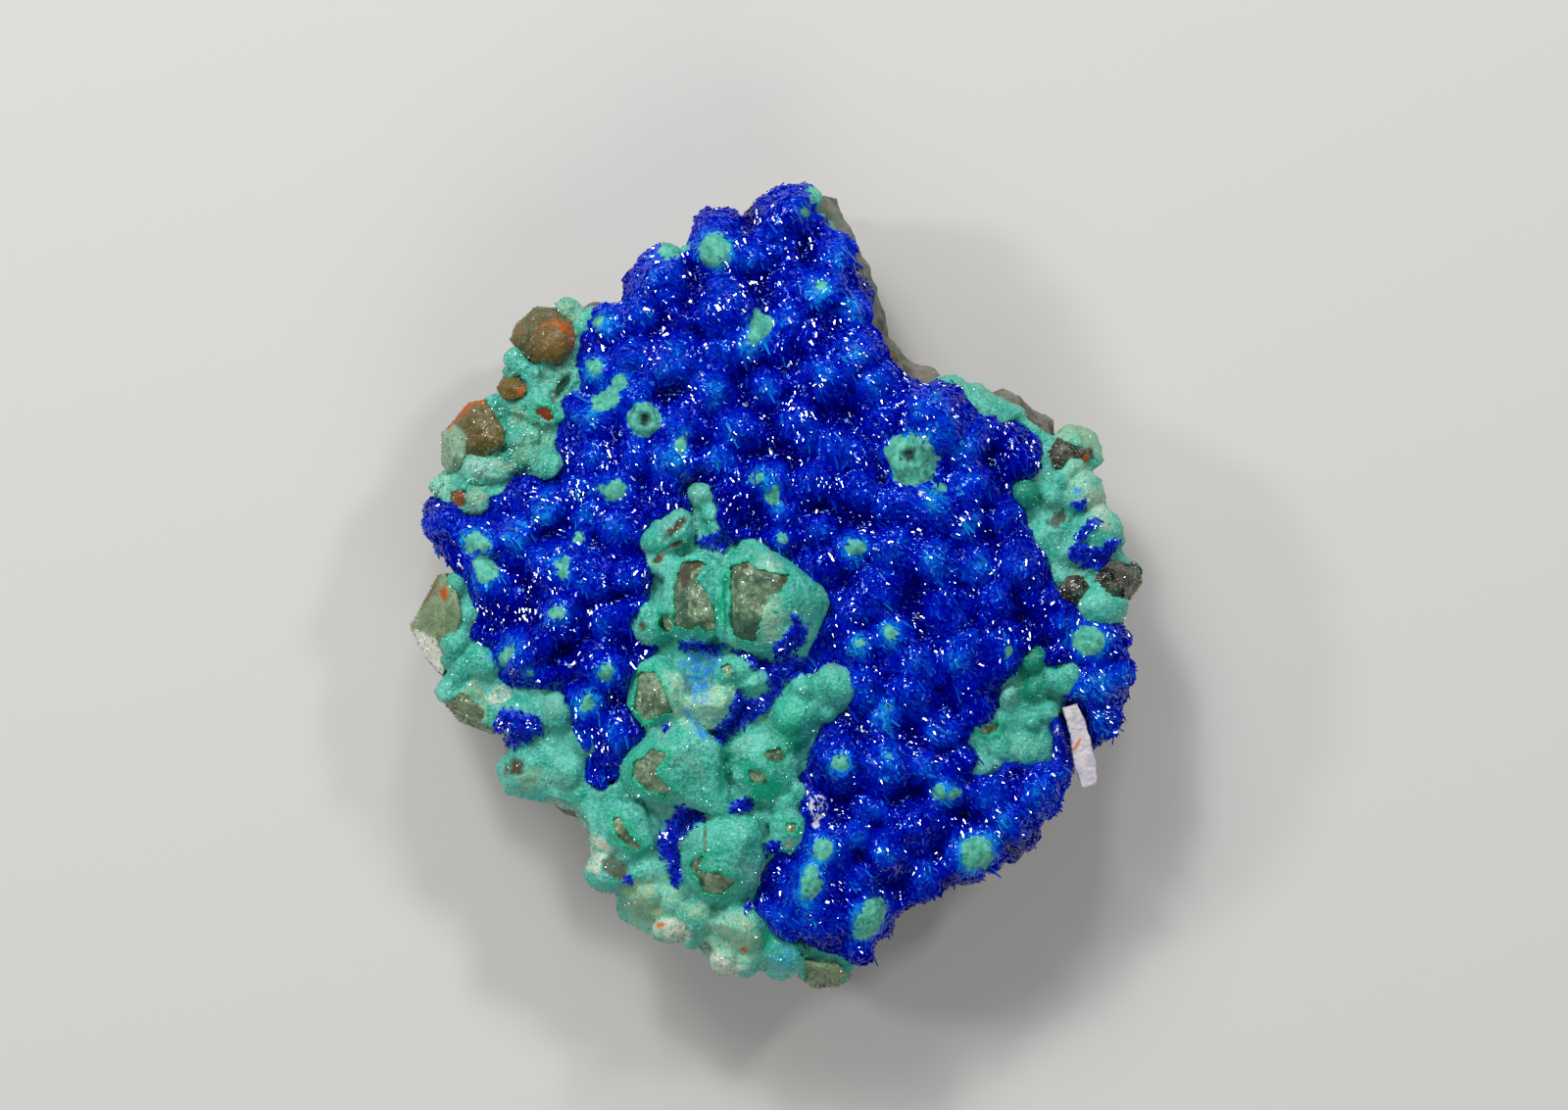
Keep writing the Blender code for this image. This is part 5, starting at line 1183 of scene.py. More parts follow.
Groups = dict[str, bpy.types.NodeTree]


class Shader:
    """A Principled material with short ways to wire what feeds it."""

    def __init__(self, name: str, groups: Groups, **values: float | Colour) -> None:
        """Make the material.

        Args:
            name: The material's name.
            groups: The shared effects by name.
            **values: Plain values of the shader's sockets, with _ for spaces.
        """
        self.groups = groups
        self.material = bpy.data.materials.new(name)
        self.material.use_nodes = True
        self.tree = self.material.node_tree
        self.principled = self.tree.nodes["Principled BSDF"]
        for label, value in values.items():
            self.feed(label.replace("_", " "), value)

    def put(self, socket: Socket, value: Socket | Colour | float) -> None:
        """Wire a node's socket, or give it a plain number or colour."""
        if isinstance(value, bpy.types.NodeSocket):
            self.tree.links.new(value, socket)
        else:
            socket.default_value = (*value, 1.0) if isinstance(value, tuple) else value

    def feed(self, label: str, value: Socket | Colour | float) -> None:
        """Wire a socket of the Principled shader, or give it a plain value."""
        self.put(self.principled.inputs[label], value)

    def node(self, kind: str, **settings: str | bool) -> bpy.types.Node:
        """Add a node."""
        node = self.tree.nodes.new("ShaderNode" + kind)
        for name, value in settings.items():
            setattr(node, name, value)
        return node

    def effect(self, name: str, *values: float) -> Socket:
        """A shared effect with its own values."""
        node = self.node("Group", node_tree=self.groups[name])
        for socket, value in zip(node.inputs, values):
            socket.default_value = value
        return node.outputs[0]

    def cloud(self, scale: float, low: float, high: float, strength: float = 1.0) -> Socket:
        """A cloudy mask; scale is in patches per metre."""
        mask = self.effect("cloud", scale, low, high)
        return mask if strength == 1.0 else self.math("MULTIPLY", mask, strength)

    def attribute(self, name: str) -> Socket:
        """The value of a mesh attribute."""
        return self.node("Attribute", attribute_name=name).outputs["Fac"]

    def math(self, operation: str, *values: Socket | float, clamped: bool = True) -> Socket:
        """A sum, product or other operation on numbers, kept between 0 and 1 if clamped."""
        node = self.node("Math", operation=operation, use_clamp=clamped)
        for socket, value in zip(node.inputs, values):
            self.put(socket, value)
        return node.outputs[0]

    def ramp(self, factor: Socket, stops: Stops) -> Socket:
        """A colour ramp."""
        node = self.node("ValToRGB")
        elements = node.color_ramp.elements
        while len(elements) < len(stops):
            elements.new(0.5)
        for element, (at, colour) in zip(elements, stops):
            element.position = at
            element.color = (*colour, 1.0)
        self.put(node.inputs["Fac"], factor)
        return node.outputs["Color"]

    def layers(self, colour: Socket | Colour,
               *coats: tuple[Socket, Socket | Colour]) -> Socket | Colour:
        """Lay colours one over another, each through its mask."""
        for mask, over in coats:
            node = self.node("Mix", data_type="RGBA")
            self.put(node.inputs[0], mask)
            self.put(node.inputs[6], colour)
            self.put(node.inputs[7], over)
            colour = node.outputs[2]
        return colour

    def crisp(self, name: str, scale: float, stray: float, blur: float) -> Socket:
        """A mask that starts where an attribute passes one half, with a finely broken edge."""
        centred = self.math("SUBTRACT", self.cloud(scale, 0.2, 0.8), 0.5, clamped=False)
        edge = self.math("ADD", self.attribute(name),
                         self.math("MULTIPLY", centred, stray, clamped=False))
        black, white = (0.0, 0.0, 0.0), (1.0, 1.0, 1.0)
        return self.ramp(edge, ((0.0, black), (0.5 - blur, black), (0.5 + blur, white)))

    def spread(self, factor: Socket, low: float, high: float) -> Socket:
        """A number between low and high."""
        node = self.node("MapRange")
        for label, value in (("To Min", low), ("To Max", high), ("Value", factor)):
            self.put(node.inputs[label], value)
        return node.outputs["Result"]

    def largest(self, first: Socket, *names: str) -> Socket:
        """The largest of a number and some attributes."""
        for name in names:
            first = self.math("MAXIMUM", first, self.attribute(name))
        return first

    def bump(self, scale: float, edge: float, depth: float,
             facets: Point2 | None = None) -> None:
        """Add a fine sugary relief, over glittering faces if they are given.

        Args:
            scale: Grains per metre.
            edge: How sharply the grains stand out from the fine noise.
            depth: Height of the relief, in millimetres.
            facets: The faces' scale and tilt, or None.
        """
        node = self.node("Bump")
        self.put(node.inputs["Distance"], depth * METRES_PER_MM)
        self.put(node.inputs["Height"], self.effect("grain", scale, edge))
        if facets is not None:
            self.put(node.inputs["Normal"], self.effect("facets", *facets))
        self.feed("Normal", node.outputs["Normal"])


# Colours from crevice to crest of the blue crust; the dark crevice end is painted shade.
BLUE_STOPS: Stops = (
    (0.0, (0.0, 0.0, 0.06)), (0.25, (0.0, 0.0, 0.23)), (0.50, (0.0, 0.005, 0.46)),
    (0.75, (0.001, 0.040, 0.62)), (1.0, (0.006, 0.24, 0.70)),
)


@dataclass(frozen=True)
class LinariteFinish:
    """The blue crust under and between its crystals, with its green caps and painted shade in its
    pits.
    """

    roughness: float = 0.10
    cap_roughness: float = 0.5
    ior: float = 1.8
    sheen: Colour = (0.25, 0.60, 1.0)
    white: Colour = (0.58, 0.64, 0.76)
    cap_dark: Colour = (0.045, 0.34, 0.22)
    cap_light: Colour = (0.15, 0.53, 0.37)
    # Painted shade: the near-black of the pits.
    pit_shade: Colour = (0.014, 0.016, 0.010)

    def material(self, groups: Groups) -> bpy.types.Material:
        """Build the material."""
        shader = Shader("linarite_bed", groups, Roughness=self.roughness, IOR=self.ior,
                        Specular_Tint=self.sheen)
        depth = shader.math("MULTIPLY_ADD", shader.cloud(1500.0, 0.3, 0.7), 0.24, -0.10,
                            clamped=False)
        blue = shader.ramp(shader.math("ADD", shader.attribute("tone"), depth), BLUE_STOPS)
        green = shader.layers(self.cap_dark, (shader.cloud(3200.0, 0.35, 0.65), self.cap_light))
        cap = shader.crisp("cap", 1700.0, 0.35, 0.06)
        shader.feed("Base Color", shader.layers(
            blue, (cap, green), (shader.attribute("hollow_shade"), self.pit_shade),
            (shader.crisp("white", 3000.0, 0.08, 0.05), self.white)))
        shader.feed("Roughness", shader.spread(cap, self.roughness, self.cap_roughness))
        shader.bump(9000.0, 0.6, 0.015, (4600.0, 0.6))
        return shader.material


@dataclass(frozen=True)
class BladeFinish:
    """Small crystals: glassy, each with its own depth of colour."""

    name: str = "linarite_blades"
    ior: float = 1.84
    smooth_low: float = 0.05
    smooth_high: float = 0.12
    stops: Stops = BLUE_STOPS
    sheen: Colour = (0.80, 0.90, 1.0)

    def material(self, groups: Groups) -> bpy.types.Material:
        """Build the material."""
        shader = Shader(self.name, groups, IOR=self.ior, Specular_Tint=self.sheen)
        shader.feed("Base Color", shader.ramp(shader.attribute("tone"), self.stops))
        shader.feed("Roughness", shader.spread(shader.cloud(5000.0, 0.3, 0.7), self.smooth_low,
                                               self.smooth_high))
        return shader.material


@dataclass(frozen=True)
class GreenFinish:
    """The turquoise crust, jade to pale, with blue, olive and stained patches and painted shade."""

    deep: Colour = (0.010, 0.300, 0.205)
    middle: Colour = (0.040, 0.430, 0.325)
    light: Colour = (0.150, 0.575, 0.465)
    grey: Colour = (0.150, 0.370, 0.300)
    jade: Colour = (0.006, 0.230, 0.145)
    rim: Colour = (0.004, 0.420, 0.230)
    pale: Colour = (0.300, 0.560, 0.380)
    frost: Colour = (0.020, 0.270, 0.760)
    olive: Colour = (0.260, 0.420, 0.240)
    brown: Colour = (0.075, 0.058, 0.030)
    stain: Colour = (0.620, 0.130, 0.015)
    white: Colour = (0.540, 0.600, 0.470)
    # Painted shade in cracks, holes and the floors of openings.
    hollow_shade: Colour = (0.003, 0.050, 0.025)
    blue: Colour = (0.0, 0.010, 0.60)

    def material(self, groups: Groups) -> bpy.types.Material:
        """Build the material."""
        shader = Shader("green_crust", groups, IOR=1.6)

        def broken(tint: str, *cloud: float) -> tuple[Socket, Colour]:
            """A tint that shows in a cloud's patches only."""
            mask = shader.math("MULTIPLY", shader.attribute(tint), shader.cloud(*cloud))
            return mask, getattr(self, tint)

        ground = shader.ramp(shader.cloud(620.0, 0.25, 0.75), (
            (0.0, self.deep), (0.5, self.middle), (1.0, self.light)))
        shader.feed("Base Color", shader.layers(
            ground,
            (shader.cloud(430.0, 0.52, 0.66, 0.6), self.grey),
            (shader.cloud(6000.0, 0.46, 0.62, 0.6), self.light),
            (shader.cloud(3900.0, 0.5, 0.64, 0.4), self.deep),
            *((shader.attribute(tint), getattr(self, tint)) for tint in ("jade", "rim")),
            broken("pale", 2600.0, 0.3, 0.55), broken("olive", 2600.0, 0.3, 0.55),
            broken("white", 2300.0, 0.3, 0.55), broken("frost", 2600.0, 0.42, 0.56),
            *((shader.attribute(tint), getattr(self, tint))
              for tint in ("stain", "brown", "hollow_shade", "blue"))))
        shine = shader.spread(shader.cloud(6500.0, 0.50, 0.62), 0.48, 0.16)
        shader.feed("Roughness", shader.largest(shine, "hollow_shade", "stain", "brown"))
        shader.bump(7000.0, 0.5, 0.05, (7000.0, 0.42))
        return shader.material


@dataclass(frozen=True)
class QuartzFinish:
    """Quartz: partly clear, with a clouded colour, glittering grains and rusty stains."""

    name: str
    dark: Colour
    light: Colour
    stain: Colour = (0.62, 0.110, 0.003)
    white: Colour = (0.93, 0.91, 0.80)
    amber: Colour = (0.205, 0.120, 0.020)
    veil: Colour = (0.33, 0.36, 0.24)
    pale: Colour = (0.26, 0.47, 0.31)
    clearness: float = 0.30
    roughness: float = 0.14
    stain_low: float = 0.70
    veil_low: float = 0.58
    grain: float = 4200.0
    tilt: float = 0.35

    def material(self, groups: Groups) -> bpy.types.Material:
        """Build the material."""
        shader = Shader(self.name, groups, IOR=1.55, Transmission_Weight=self.clearness)
        shader.feed("Base Color", shader.layers(
            self.dark,
            (shader.cloud(1100.0, 0.35, 0.65), self.light),
            (shader.cloud(4200.0, 0.46, 0.6, 0.7), self.dark),
            (shader.cloud(2900.0, self.veil_low, self.veil_low + 0.12), self.veil),
            (shader.cloud(800.0, self.stain_low, self.stain_low + 0.06), self.stain),
            *((shader.attribute(tint), getattr(self, tint))
              for tint in ("amber", "pale", "white", "stain"))))
        shine = shader.spread(shader.cloud(3000.0, 0.4, 0.6), self.roughness,
                              self.roughness + 0.25)
        shader.feed("Roughness", shader.largest(shine, "stain"))
        shader.bump(4500.0, 0.7, 0.02, (self.grain, self.tilt))
        return shader.material


@dataclass(frozen=True)
class RockFinish:
    """The quartz rock: grey-beige, sugary, with rusty and greenish stains."""

    roughness: float = 0.68
    dark: Colour = (0.052, 0.048, 0.038)
    light: Colour = (0.205, 0.190, 0.155)
    rust: Colour = (0.16, 0.075, 0.028)
    green: Colour = (0.10, 0.22, 0.14)

    def material(self, groups: Groups) -> bpy.types.Material:
        """Build the material."""
        shader = Shader("quartz_rock", groups, Roughness=self.roughness)
        shader.feed("Base Color", shader.layers(
            self.dark,
            (shader.cloud(450.0, 0.3, 0.7), self.light),
            (shader.cloud(1800.0, 0.45, 0.6, 0.5), self.light),
            (shader.cloud(260.0, 0.55, 0.68), self.rust),
            (shader.cloud(330.0, 0.5, 0.66, 0.7), self.green)))
        shader.feed("Roughness", shader.spread(shader.cloud(2500.0, 0.35, 0.65), 0.4, 0.85))
        shader.bump(3500.0, 0.4, 0.08)
        return shader.material


@dataclass(frozen=True)
class BladeWhiteFinish:
    """The loose white blade, chalky with a lilac cast and one rusty streak."""

    white: Colour = (0.66, 0.63, 0.62)
    lilac: Colour = (0.50, 0.46, 0.56)
    rust: Colour = (0.62, 0.20, 0.05)

    def material(self, groups: Groups) -> bpy.types.Material:
        """Build the material."""
        shader = Shader("white_blade", groups, Roughness=0.55, Subsurface_Weight=0.15,
                        Subsurface_Scale=0.3 * METRES_PER_MM)
        shader.feed("Base Color", shader.layers(
            self.white, (shader.cloud(1100.0, 0.35, 0.65), self.lilac),
            (shader.attribute("stain"), self.rust)))
        shader.bump(5000.0, 0.4, 0.05)
        return shader.material


# --- shared steps -----------------------------------------------------------------------
def settle(obj: bpy.types.Object, material: bpy.types.Material,
           nodes: Iterable[str] = ()) -> bpy.types.Object:
    """Give a finished piece its material and its body, and hide the imported nodes it stands for.
    """
    obj.data.materials.clear()
    obj.data.materials.append(material)
    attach(obj, "root")
    if nodes:
        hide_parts(*nodes)
    triangles = sum(len(face.vertices) - 2 for face in obj.data.polygons)
    log.info("%s: %d triangles", obj.name, triangles)
    return obj


def node_copy(node: str, voxel: float) -> Skin:
    """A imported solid's form as a fine skin in millimetres."""
    bm = bmesh.new()
    bm.from_mesh(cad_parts[node].data)
    bmesh.ops.scale(bm, vec=(1 / METRES_PER_MM,) * 3, verts=bm.verts[:])
    bmesh.ops.remove_doubles(bm, verts=bm.verts[:], dist=0.001)
    return Skin(melted(bm, node + "_skin", voxel))


def tinted(points: np.ndarray, tint: Tint, marks: Iterable[Patch | Spot],
           stray: np.ndarray) -> np.ndarray:
    """How strongly each point has a tint.

    Args:
        points: Places over the flat bed.
        tint: The tint that is asked for.
        marks: All the surface's patches and spots.
        stray: Noise that makes their edges wander.

    Returns:
        A share between 0 and 1 for each point.
    """
    total = np.zeros(len(points))
    for mark in marks:
        if mark.tint is not tint:
            continue
        inside = (edge_distance(points, mark.outline)[0] if isinstance(mark, Patch)
                  else oval_distance(points, mark))
        inside = inside + mark.wander * stray
        total = np.maximum(total, mark.strength * smooth(-mark.fade / 2, mark.fade / 2, inside))
    return total


# --- the blue crust ---------------------------------------------------------------------
@dataclass
class LinariteCrust:
    """The blue crust: mounds that run together, with green caps."""

    voxel: float = LINARITE_VOXEL
    fillers: int = 90
    filler_radii: Point2 = (0.45, 0.95)
    filler_overlap: float = 0.35
    broad: float = 1.0
    near: float = 0.30
    broad_share: float = 0.28
    raised: float = 0.22
    warp: float = 0.50
    warp_span: float = 2.6
    knobs: float = 0.13
    knob_span: float = 1.05
    ridges: float = 0.17
    ridge_turn: float = -56.0
    ridge_spans: Point2 = (3.2, 0.75)
    lumps: float = 0.10
    lump_span: float = 1.3
    grit: float = 0.05
    grit_span: float = 0.38
    cap_height: float = 0.07
    pit_depth: float = 0.4
    sink: float = 1.5
    blade_sink: float = 1.9

    def mounds(self) -> list[Point3]:
        """The mounds, with smaller ones that fill the gaps between them."""
        rng = np.random.default_rng(NOISE_SEED)
        places = rng.uniform(-20.5, 20.5, (6000, 2))
        places = places[edge_distance(places, LINARITE_OUTLINE)[0] > 0.5]
        out = list(MOUNDS)
        for x, y in places.tolist():
            if len(out) >= len(MOUNDS) + self.fillers:
                break
            room = min(math.hypot(x - mx, y - my) - radius for mx, my, radius in out)
            if room > 0.05:
                radius = min(max(room + self.filler_overlap, self.filler_radii[0]),
                             self.filler_radii[1])
                out.append((x, y, radius))
        return out

    def crest_of(self, points: np.ndarray) -> tuple[np.ndarray, np.ndarray]:
        """How near a mound's top each point lies, and how azure the top is, 0 to 1."""
        crest, azure = np.zeros((2, len(points)))
        for number, (x, y, radius) in enumerate(MOUNDS):
            reach = np.hypot(points[:, 0] - x, points[:, 1] - y) / radius
            crest = np.maximum(crest, 1.0 - (reach / 1.2) ** 2)
            strength = 0.25 + 0.75 * golden(3 * number)
            azure = np.maximum(azure, strength * (1.0 - (reach / 0.95) ** 2))
        return crest, azure

    def shape(self, skin: Skin, heights: HeightMap) -> np.ndarray:
        """Run the mounds together and roughen them.

        Returns:
            How far each point lies above the broad swell of the crust.
        """
        points = skin.points
        top = smooth(BED_TOP - FRONT_DEPTH, BED_TOP - 0.2, points[:, 2])
        swell = heights.softened(self.broad, points)
        mixed = self.broad_share * swell + (1.0 - self.broad_share) * heights.softened(
            self.near, points)
        points[:, 2] += top * (mixed + self.raised - points[:, 2])
        angle = math.radians(self.ridge_turn)
        along = points[:, 0] * math.cos(angle) + points[:, 1] * math.sin(angle)
        across = points[:, 1] * math.cos(angle) - points[:, 0] * math.sin(angle)
        drift = 0.5 * roughness_of(points, 5.0, 2)
        streaks = np.stack([along / self.ridge_spans[0], across / self.ridge_spans[1] + drift,
                            np.zeros(len(points))], axis=1)
        cells = np.array([noise.voronoi(place)[0][0]
                          for place in (points / self.knob_span).tolist()])
        knobs = 0.6 - (1.25 * cells) ** 2
        points[:, :2] += self.warp * strays(points, self.warp_span)[:, :2] * top[:, None]
        skin.push(top * (self.ridges * roughness_of(streaks, 1.0) + self.knobs * knobs)
                  + self.lumps * roughness_of(points, self.lump_span)
                  + self.grit * roughness_of(points + 31.0, self.grit_span, 2))
        return mixed - swell + 0.35 * self.knobs * knobs

    def make_room(self, points: np.ndarray) -> None:
        """Sink the crust under the green crusts and round the white blade."""
        above = smooth(BED_TOP - 2.4, BED_TOP - 1.0, points[:, 2])
        for outline in GREEN_OUTLINES.values():
            inside = edge_distance(points, outline)[0]
            points[:, 2] -= self.sink * above * smooth(0.0, 0.7, inside)
        beside = edge_distance(points, BLADE_OUTLINE)[0]
        points[:, 2] -= self.blade_sink * above * smooth(-0.35, 0.1, beside)

    def build(self) -> bpy.types.Object:
        """Melt the bed and mounds, add the caps and bend it all to the front."""
        relief = Relief("linarite_crust_skin")
        relief.add_bed(LINARITE_OUTLINE, CRUST_BOTTOM, BED_TOP)
        for outline in UNDERLAYS:
            relief.add_bed(outline, CRUST_BOTTOM, BED_TOP - UNDERLAY_DROP)
        relief.add_rim(LINARITE_OUTLINE)
        heights = HeightMap()
        for x, y, radius in self.mounds():
            place = (x, y, BED_TOP + MOUND_LIFT * radius, radius, MOUND_STRETCH)
            relief.add_ball(*place)
            heights.add_dome(*place)
        skin = relief.melt(self.voxel)
        points = skin.points
        crest, azure = self.crest_of(points)
        relative = self.shape(skin, heights)
        stray = roughness_of(points, 0.55)
        self.make_room(points)
        cap, dome, halo, pit = np.zeros((4, len(points)))
        for spot in CAPS:
            inside = oval_distance(points, spot) + spot.wander * stray
            inside = np.where(points[:, 2] > BED_TOP - 1.5, inside, OUTSIDE)
            cap = np.maximum(cap, np.clip(0.5 + inside / MARK_BLUR, 0.0, 1.0))
            dome = np.maximum(dome, smooth(-0.05, 0.35, inside))
            halo = np.maximum(halo, smooth(-0.6, 0.0, inside))
        for spot in PITS:
            inside = oval_distance(points, spot) + spot.wander * stray
            pit = np.maximum(pit, smooth(-0.05, 0.08, inside))
        skin.push(self.cap_height * dome - self.pit_depth * pit)
        # A little lighter towards the mounds' tops, azure on some, and darker in the hollows
        # between mounds, which is painted shade.
        tone = (0.40 + 0.08 * crest + 0.48 * azure * (0.7 + 0.7 * roughness_of(points, 1.1))
                + 0.24 * halo + 0.14 * roughness_of(points, 2.4) + 0.10 * roughness_of(points, 6.0)
                - 0.32 * smooth(0.05, 0.5, -relative))
        grain = np.max([oval_distance(points, spot) for spot in WHITE_GRAINS], axis=0)
        skin.mark("tone", np.clip(tone, 0.10, 1.0))
        skin.mark("cap", cap)
        # The pits' mask, which also carries their painted shade.
        skin.mark("hollow_shade", pit)
        skin.mark("white", np.clip(0.5 + grain / MARK_BLUR, 0.0, 1.0))
        skin.mark("grow", (1.0 - smooth(0.42, 0.5, cap)) * (1.0 - pit)
                  * smooth(CRUST_BOTTOM + 0.3, CRUST_BOTTOM + 0.9, points[:, 2]))
        return skin.finish()


# --- the green crusts -------------------------------------------------------------------
@dataclass
class GreenCrust:
    """One green crust: its bed, crystals, lobes, windows and tints."""

    region: str
    lobe_count: int
    voxel: float = GREEN_VOXEL
    grit: float = 0.04
    grit_span: float = 0.30
    lumps: float = 0.07
    lump_span: float = 0.9
    blue_height: float = 0.16
    chip_depth: float = 0.12
    hollow_shade_depth: float = 0.35
    warp: float = 0.16
    warp_span: float = 1.6
    rim_gap: float = 0.6
    socket_inset: float = 0.22
    socket_depth: float = 1.6

    def __post_init__(self) -> None:
        """The upper left crust is the most broken and sugary."""
        if self.region == "upper_left":
            self.lumps, self.lump_span, self.grit = 0.17, 0.55, 0.06

    def crystals(self) -> list[Facets]:
        """The uneven crystals of this crust."""
        return ([crystal for name, crystal in FACETS.items() if name != "sheet"]
                if self.region == "lower" else [FACETS["sheet"]] if self.region == "right" else [])

    def add_small_lobes(self, relief: Relief) -> None:
        """Scatter small round lobes over the bed between the crystals."""
        rng = np.random.default_rng(NOISE_SEED)
        outline = GREEN_OUTLINES[self.region]
        low, high = np.min(outline, axis=0), np.max(outline, axis=0)
        places = rng.uniform(low, high, (self.lobe_count * 3, 2))
        inside = edge_distance(places, outline)[0]
        for x, y in places[inside > 0.25][:self.lobe_count].tolist():
            radius = rng.uniform(0.3, 0.75)
            relief.add_ball(x, y, BED_TOP + rng.uniform(-0.25, 0.12), radius, 0.9, 2)

    def openings(self) -> list[Opening]:
        """The windows, small holes and sockets of this crust."""
        out = list(BARE_OPENINGS[self.region])
        out += [Opening(socket_of(form, self.socket_inset), self.socket_depth, 0.0)
                for form in BARE_FORMS.values()]
        if self.region == "lower":
            out += [*WINDOWS.values(), *(hole for row in PORTHOLES.values() for hole in row)]
        return out

    def build(self) -> bpy.types.Object:
        """Melt the crust, open its windows, tint it and bend it to the front."""
        relief = Relief("green_crust_" + self.region + "_skin")
        outline = GREEN_OUTLINES[self.region]
        relief.add_bed(outline, CRUST_BOTTOM, BED_TOP + GREEN_LIFT)
        relief.add_rim(outline, self.rim_gap,
                       [form.faces.outline() for form in BARE_FORMS.values()])
        for site in COATED[self.region]:
            relief.add_coated(site)
        for crystal in self.crystals():
            relief.add_facets(crystal)
        relief.add_lobes(LOBES[self.region])
        self.add_small_lobes(relief)
        skin = relief.melt(self.voxel)
        points = skin.points
        points[:, :2] += self.warp * strays(points, self.warp_span)[:, :2]
        stray = roughness_of(points, 0.45)
        fine = roughness_of(points + 17.0, self.grit_span, 2)
        marks = (*GREEN_PATCHES, *GREEN_SPOTS)
        tints = {tint: tinted(points, tint, marks, stray) for tint in GREEN_TINTS}
        skin.push(self.grit * fine + self.lumps * roughness_of(points, self.lump_span)
                  + tints[Tint.BLUE] * (self.blue_height + 2.0 * self.grit * fine)
                  - self.chip_depth * tints[Tint.BROWN] - self.hollow_shade_depth * tints[Tint.HOLLOW_SHADE])
        for opening in self.openings():
            inside = skin.open_up(opening)
            # The floor of each opening is painted dark green as shade.
            tints[Tint.HOLLOW_SHADE] = np.maximum(tints[Tint.HOLLOW_SHADE], smooth(0.08, 0.2, inside))
            if opening.rim:
                edge = smooth(-opening.rim, -0.3 * opening.rim, inside + 0.1 * stray)
                tints[Tint.RIM] = np.maximum(tints[Tint.RIM], 0.8 * edge)
        for tint, values in tints.items():
            skin.mark(tint.value, values)
        return skin.finish()


# --- crystals grown over the crusts -----------------------------------------------------
FLOW_TURN = -58.0            # the way most crystals point, in degrees
TONE_SPREAD = 0.14
GLINT_STRAY = 0.026


@dataclass(frozen=True)
class Habit:
    """How a kind of small crystal grows: counts, sizes in millimetres, lift in degrees."""

    name: str
    count: int
    length: Point2
    width: Point2
    thickness: Point2
    lift: Point2
    chisel: float
    buried: float
    along_flow: float
    mirrors: float = 0.028
    raised: float = 0.0
    mirror_size: float = 0.38


def glint_ways(places: np.ndarray) -> np.ndarray:
    """The ways that faces at some places lie to mirror each small lamp upwards to the viewer."""
    viewer = unit(np.array(VIEWER) - places)
    return np.stack([unit(unit(np.array(lamp.place) / METRES_PER_MM - places) + viewer)
                     for lamp in SPARKS])


def squared(vectors: np.ndarray, axes: np.ndarray) -> np.ndarray:
    """Vectors without the part of them that lies along some axes of length one."""
    return vectors - axes * np.sum(vectors * axes, axis=1)[:, None]


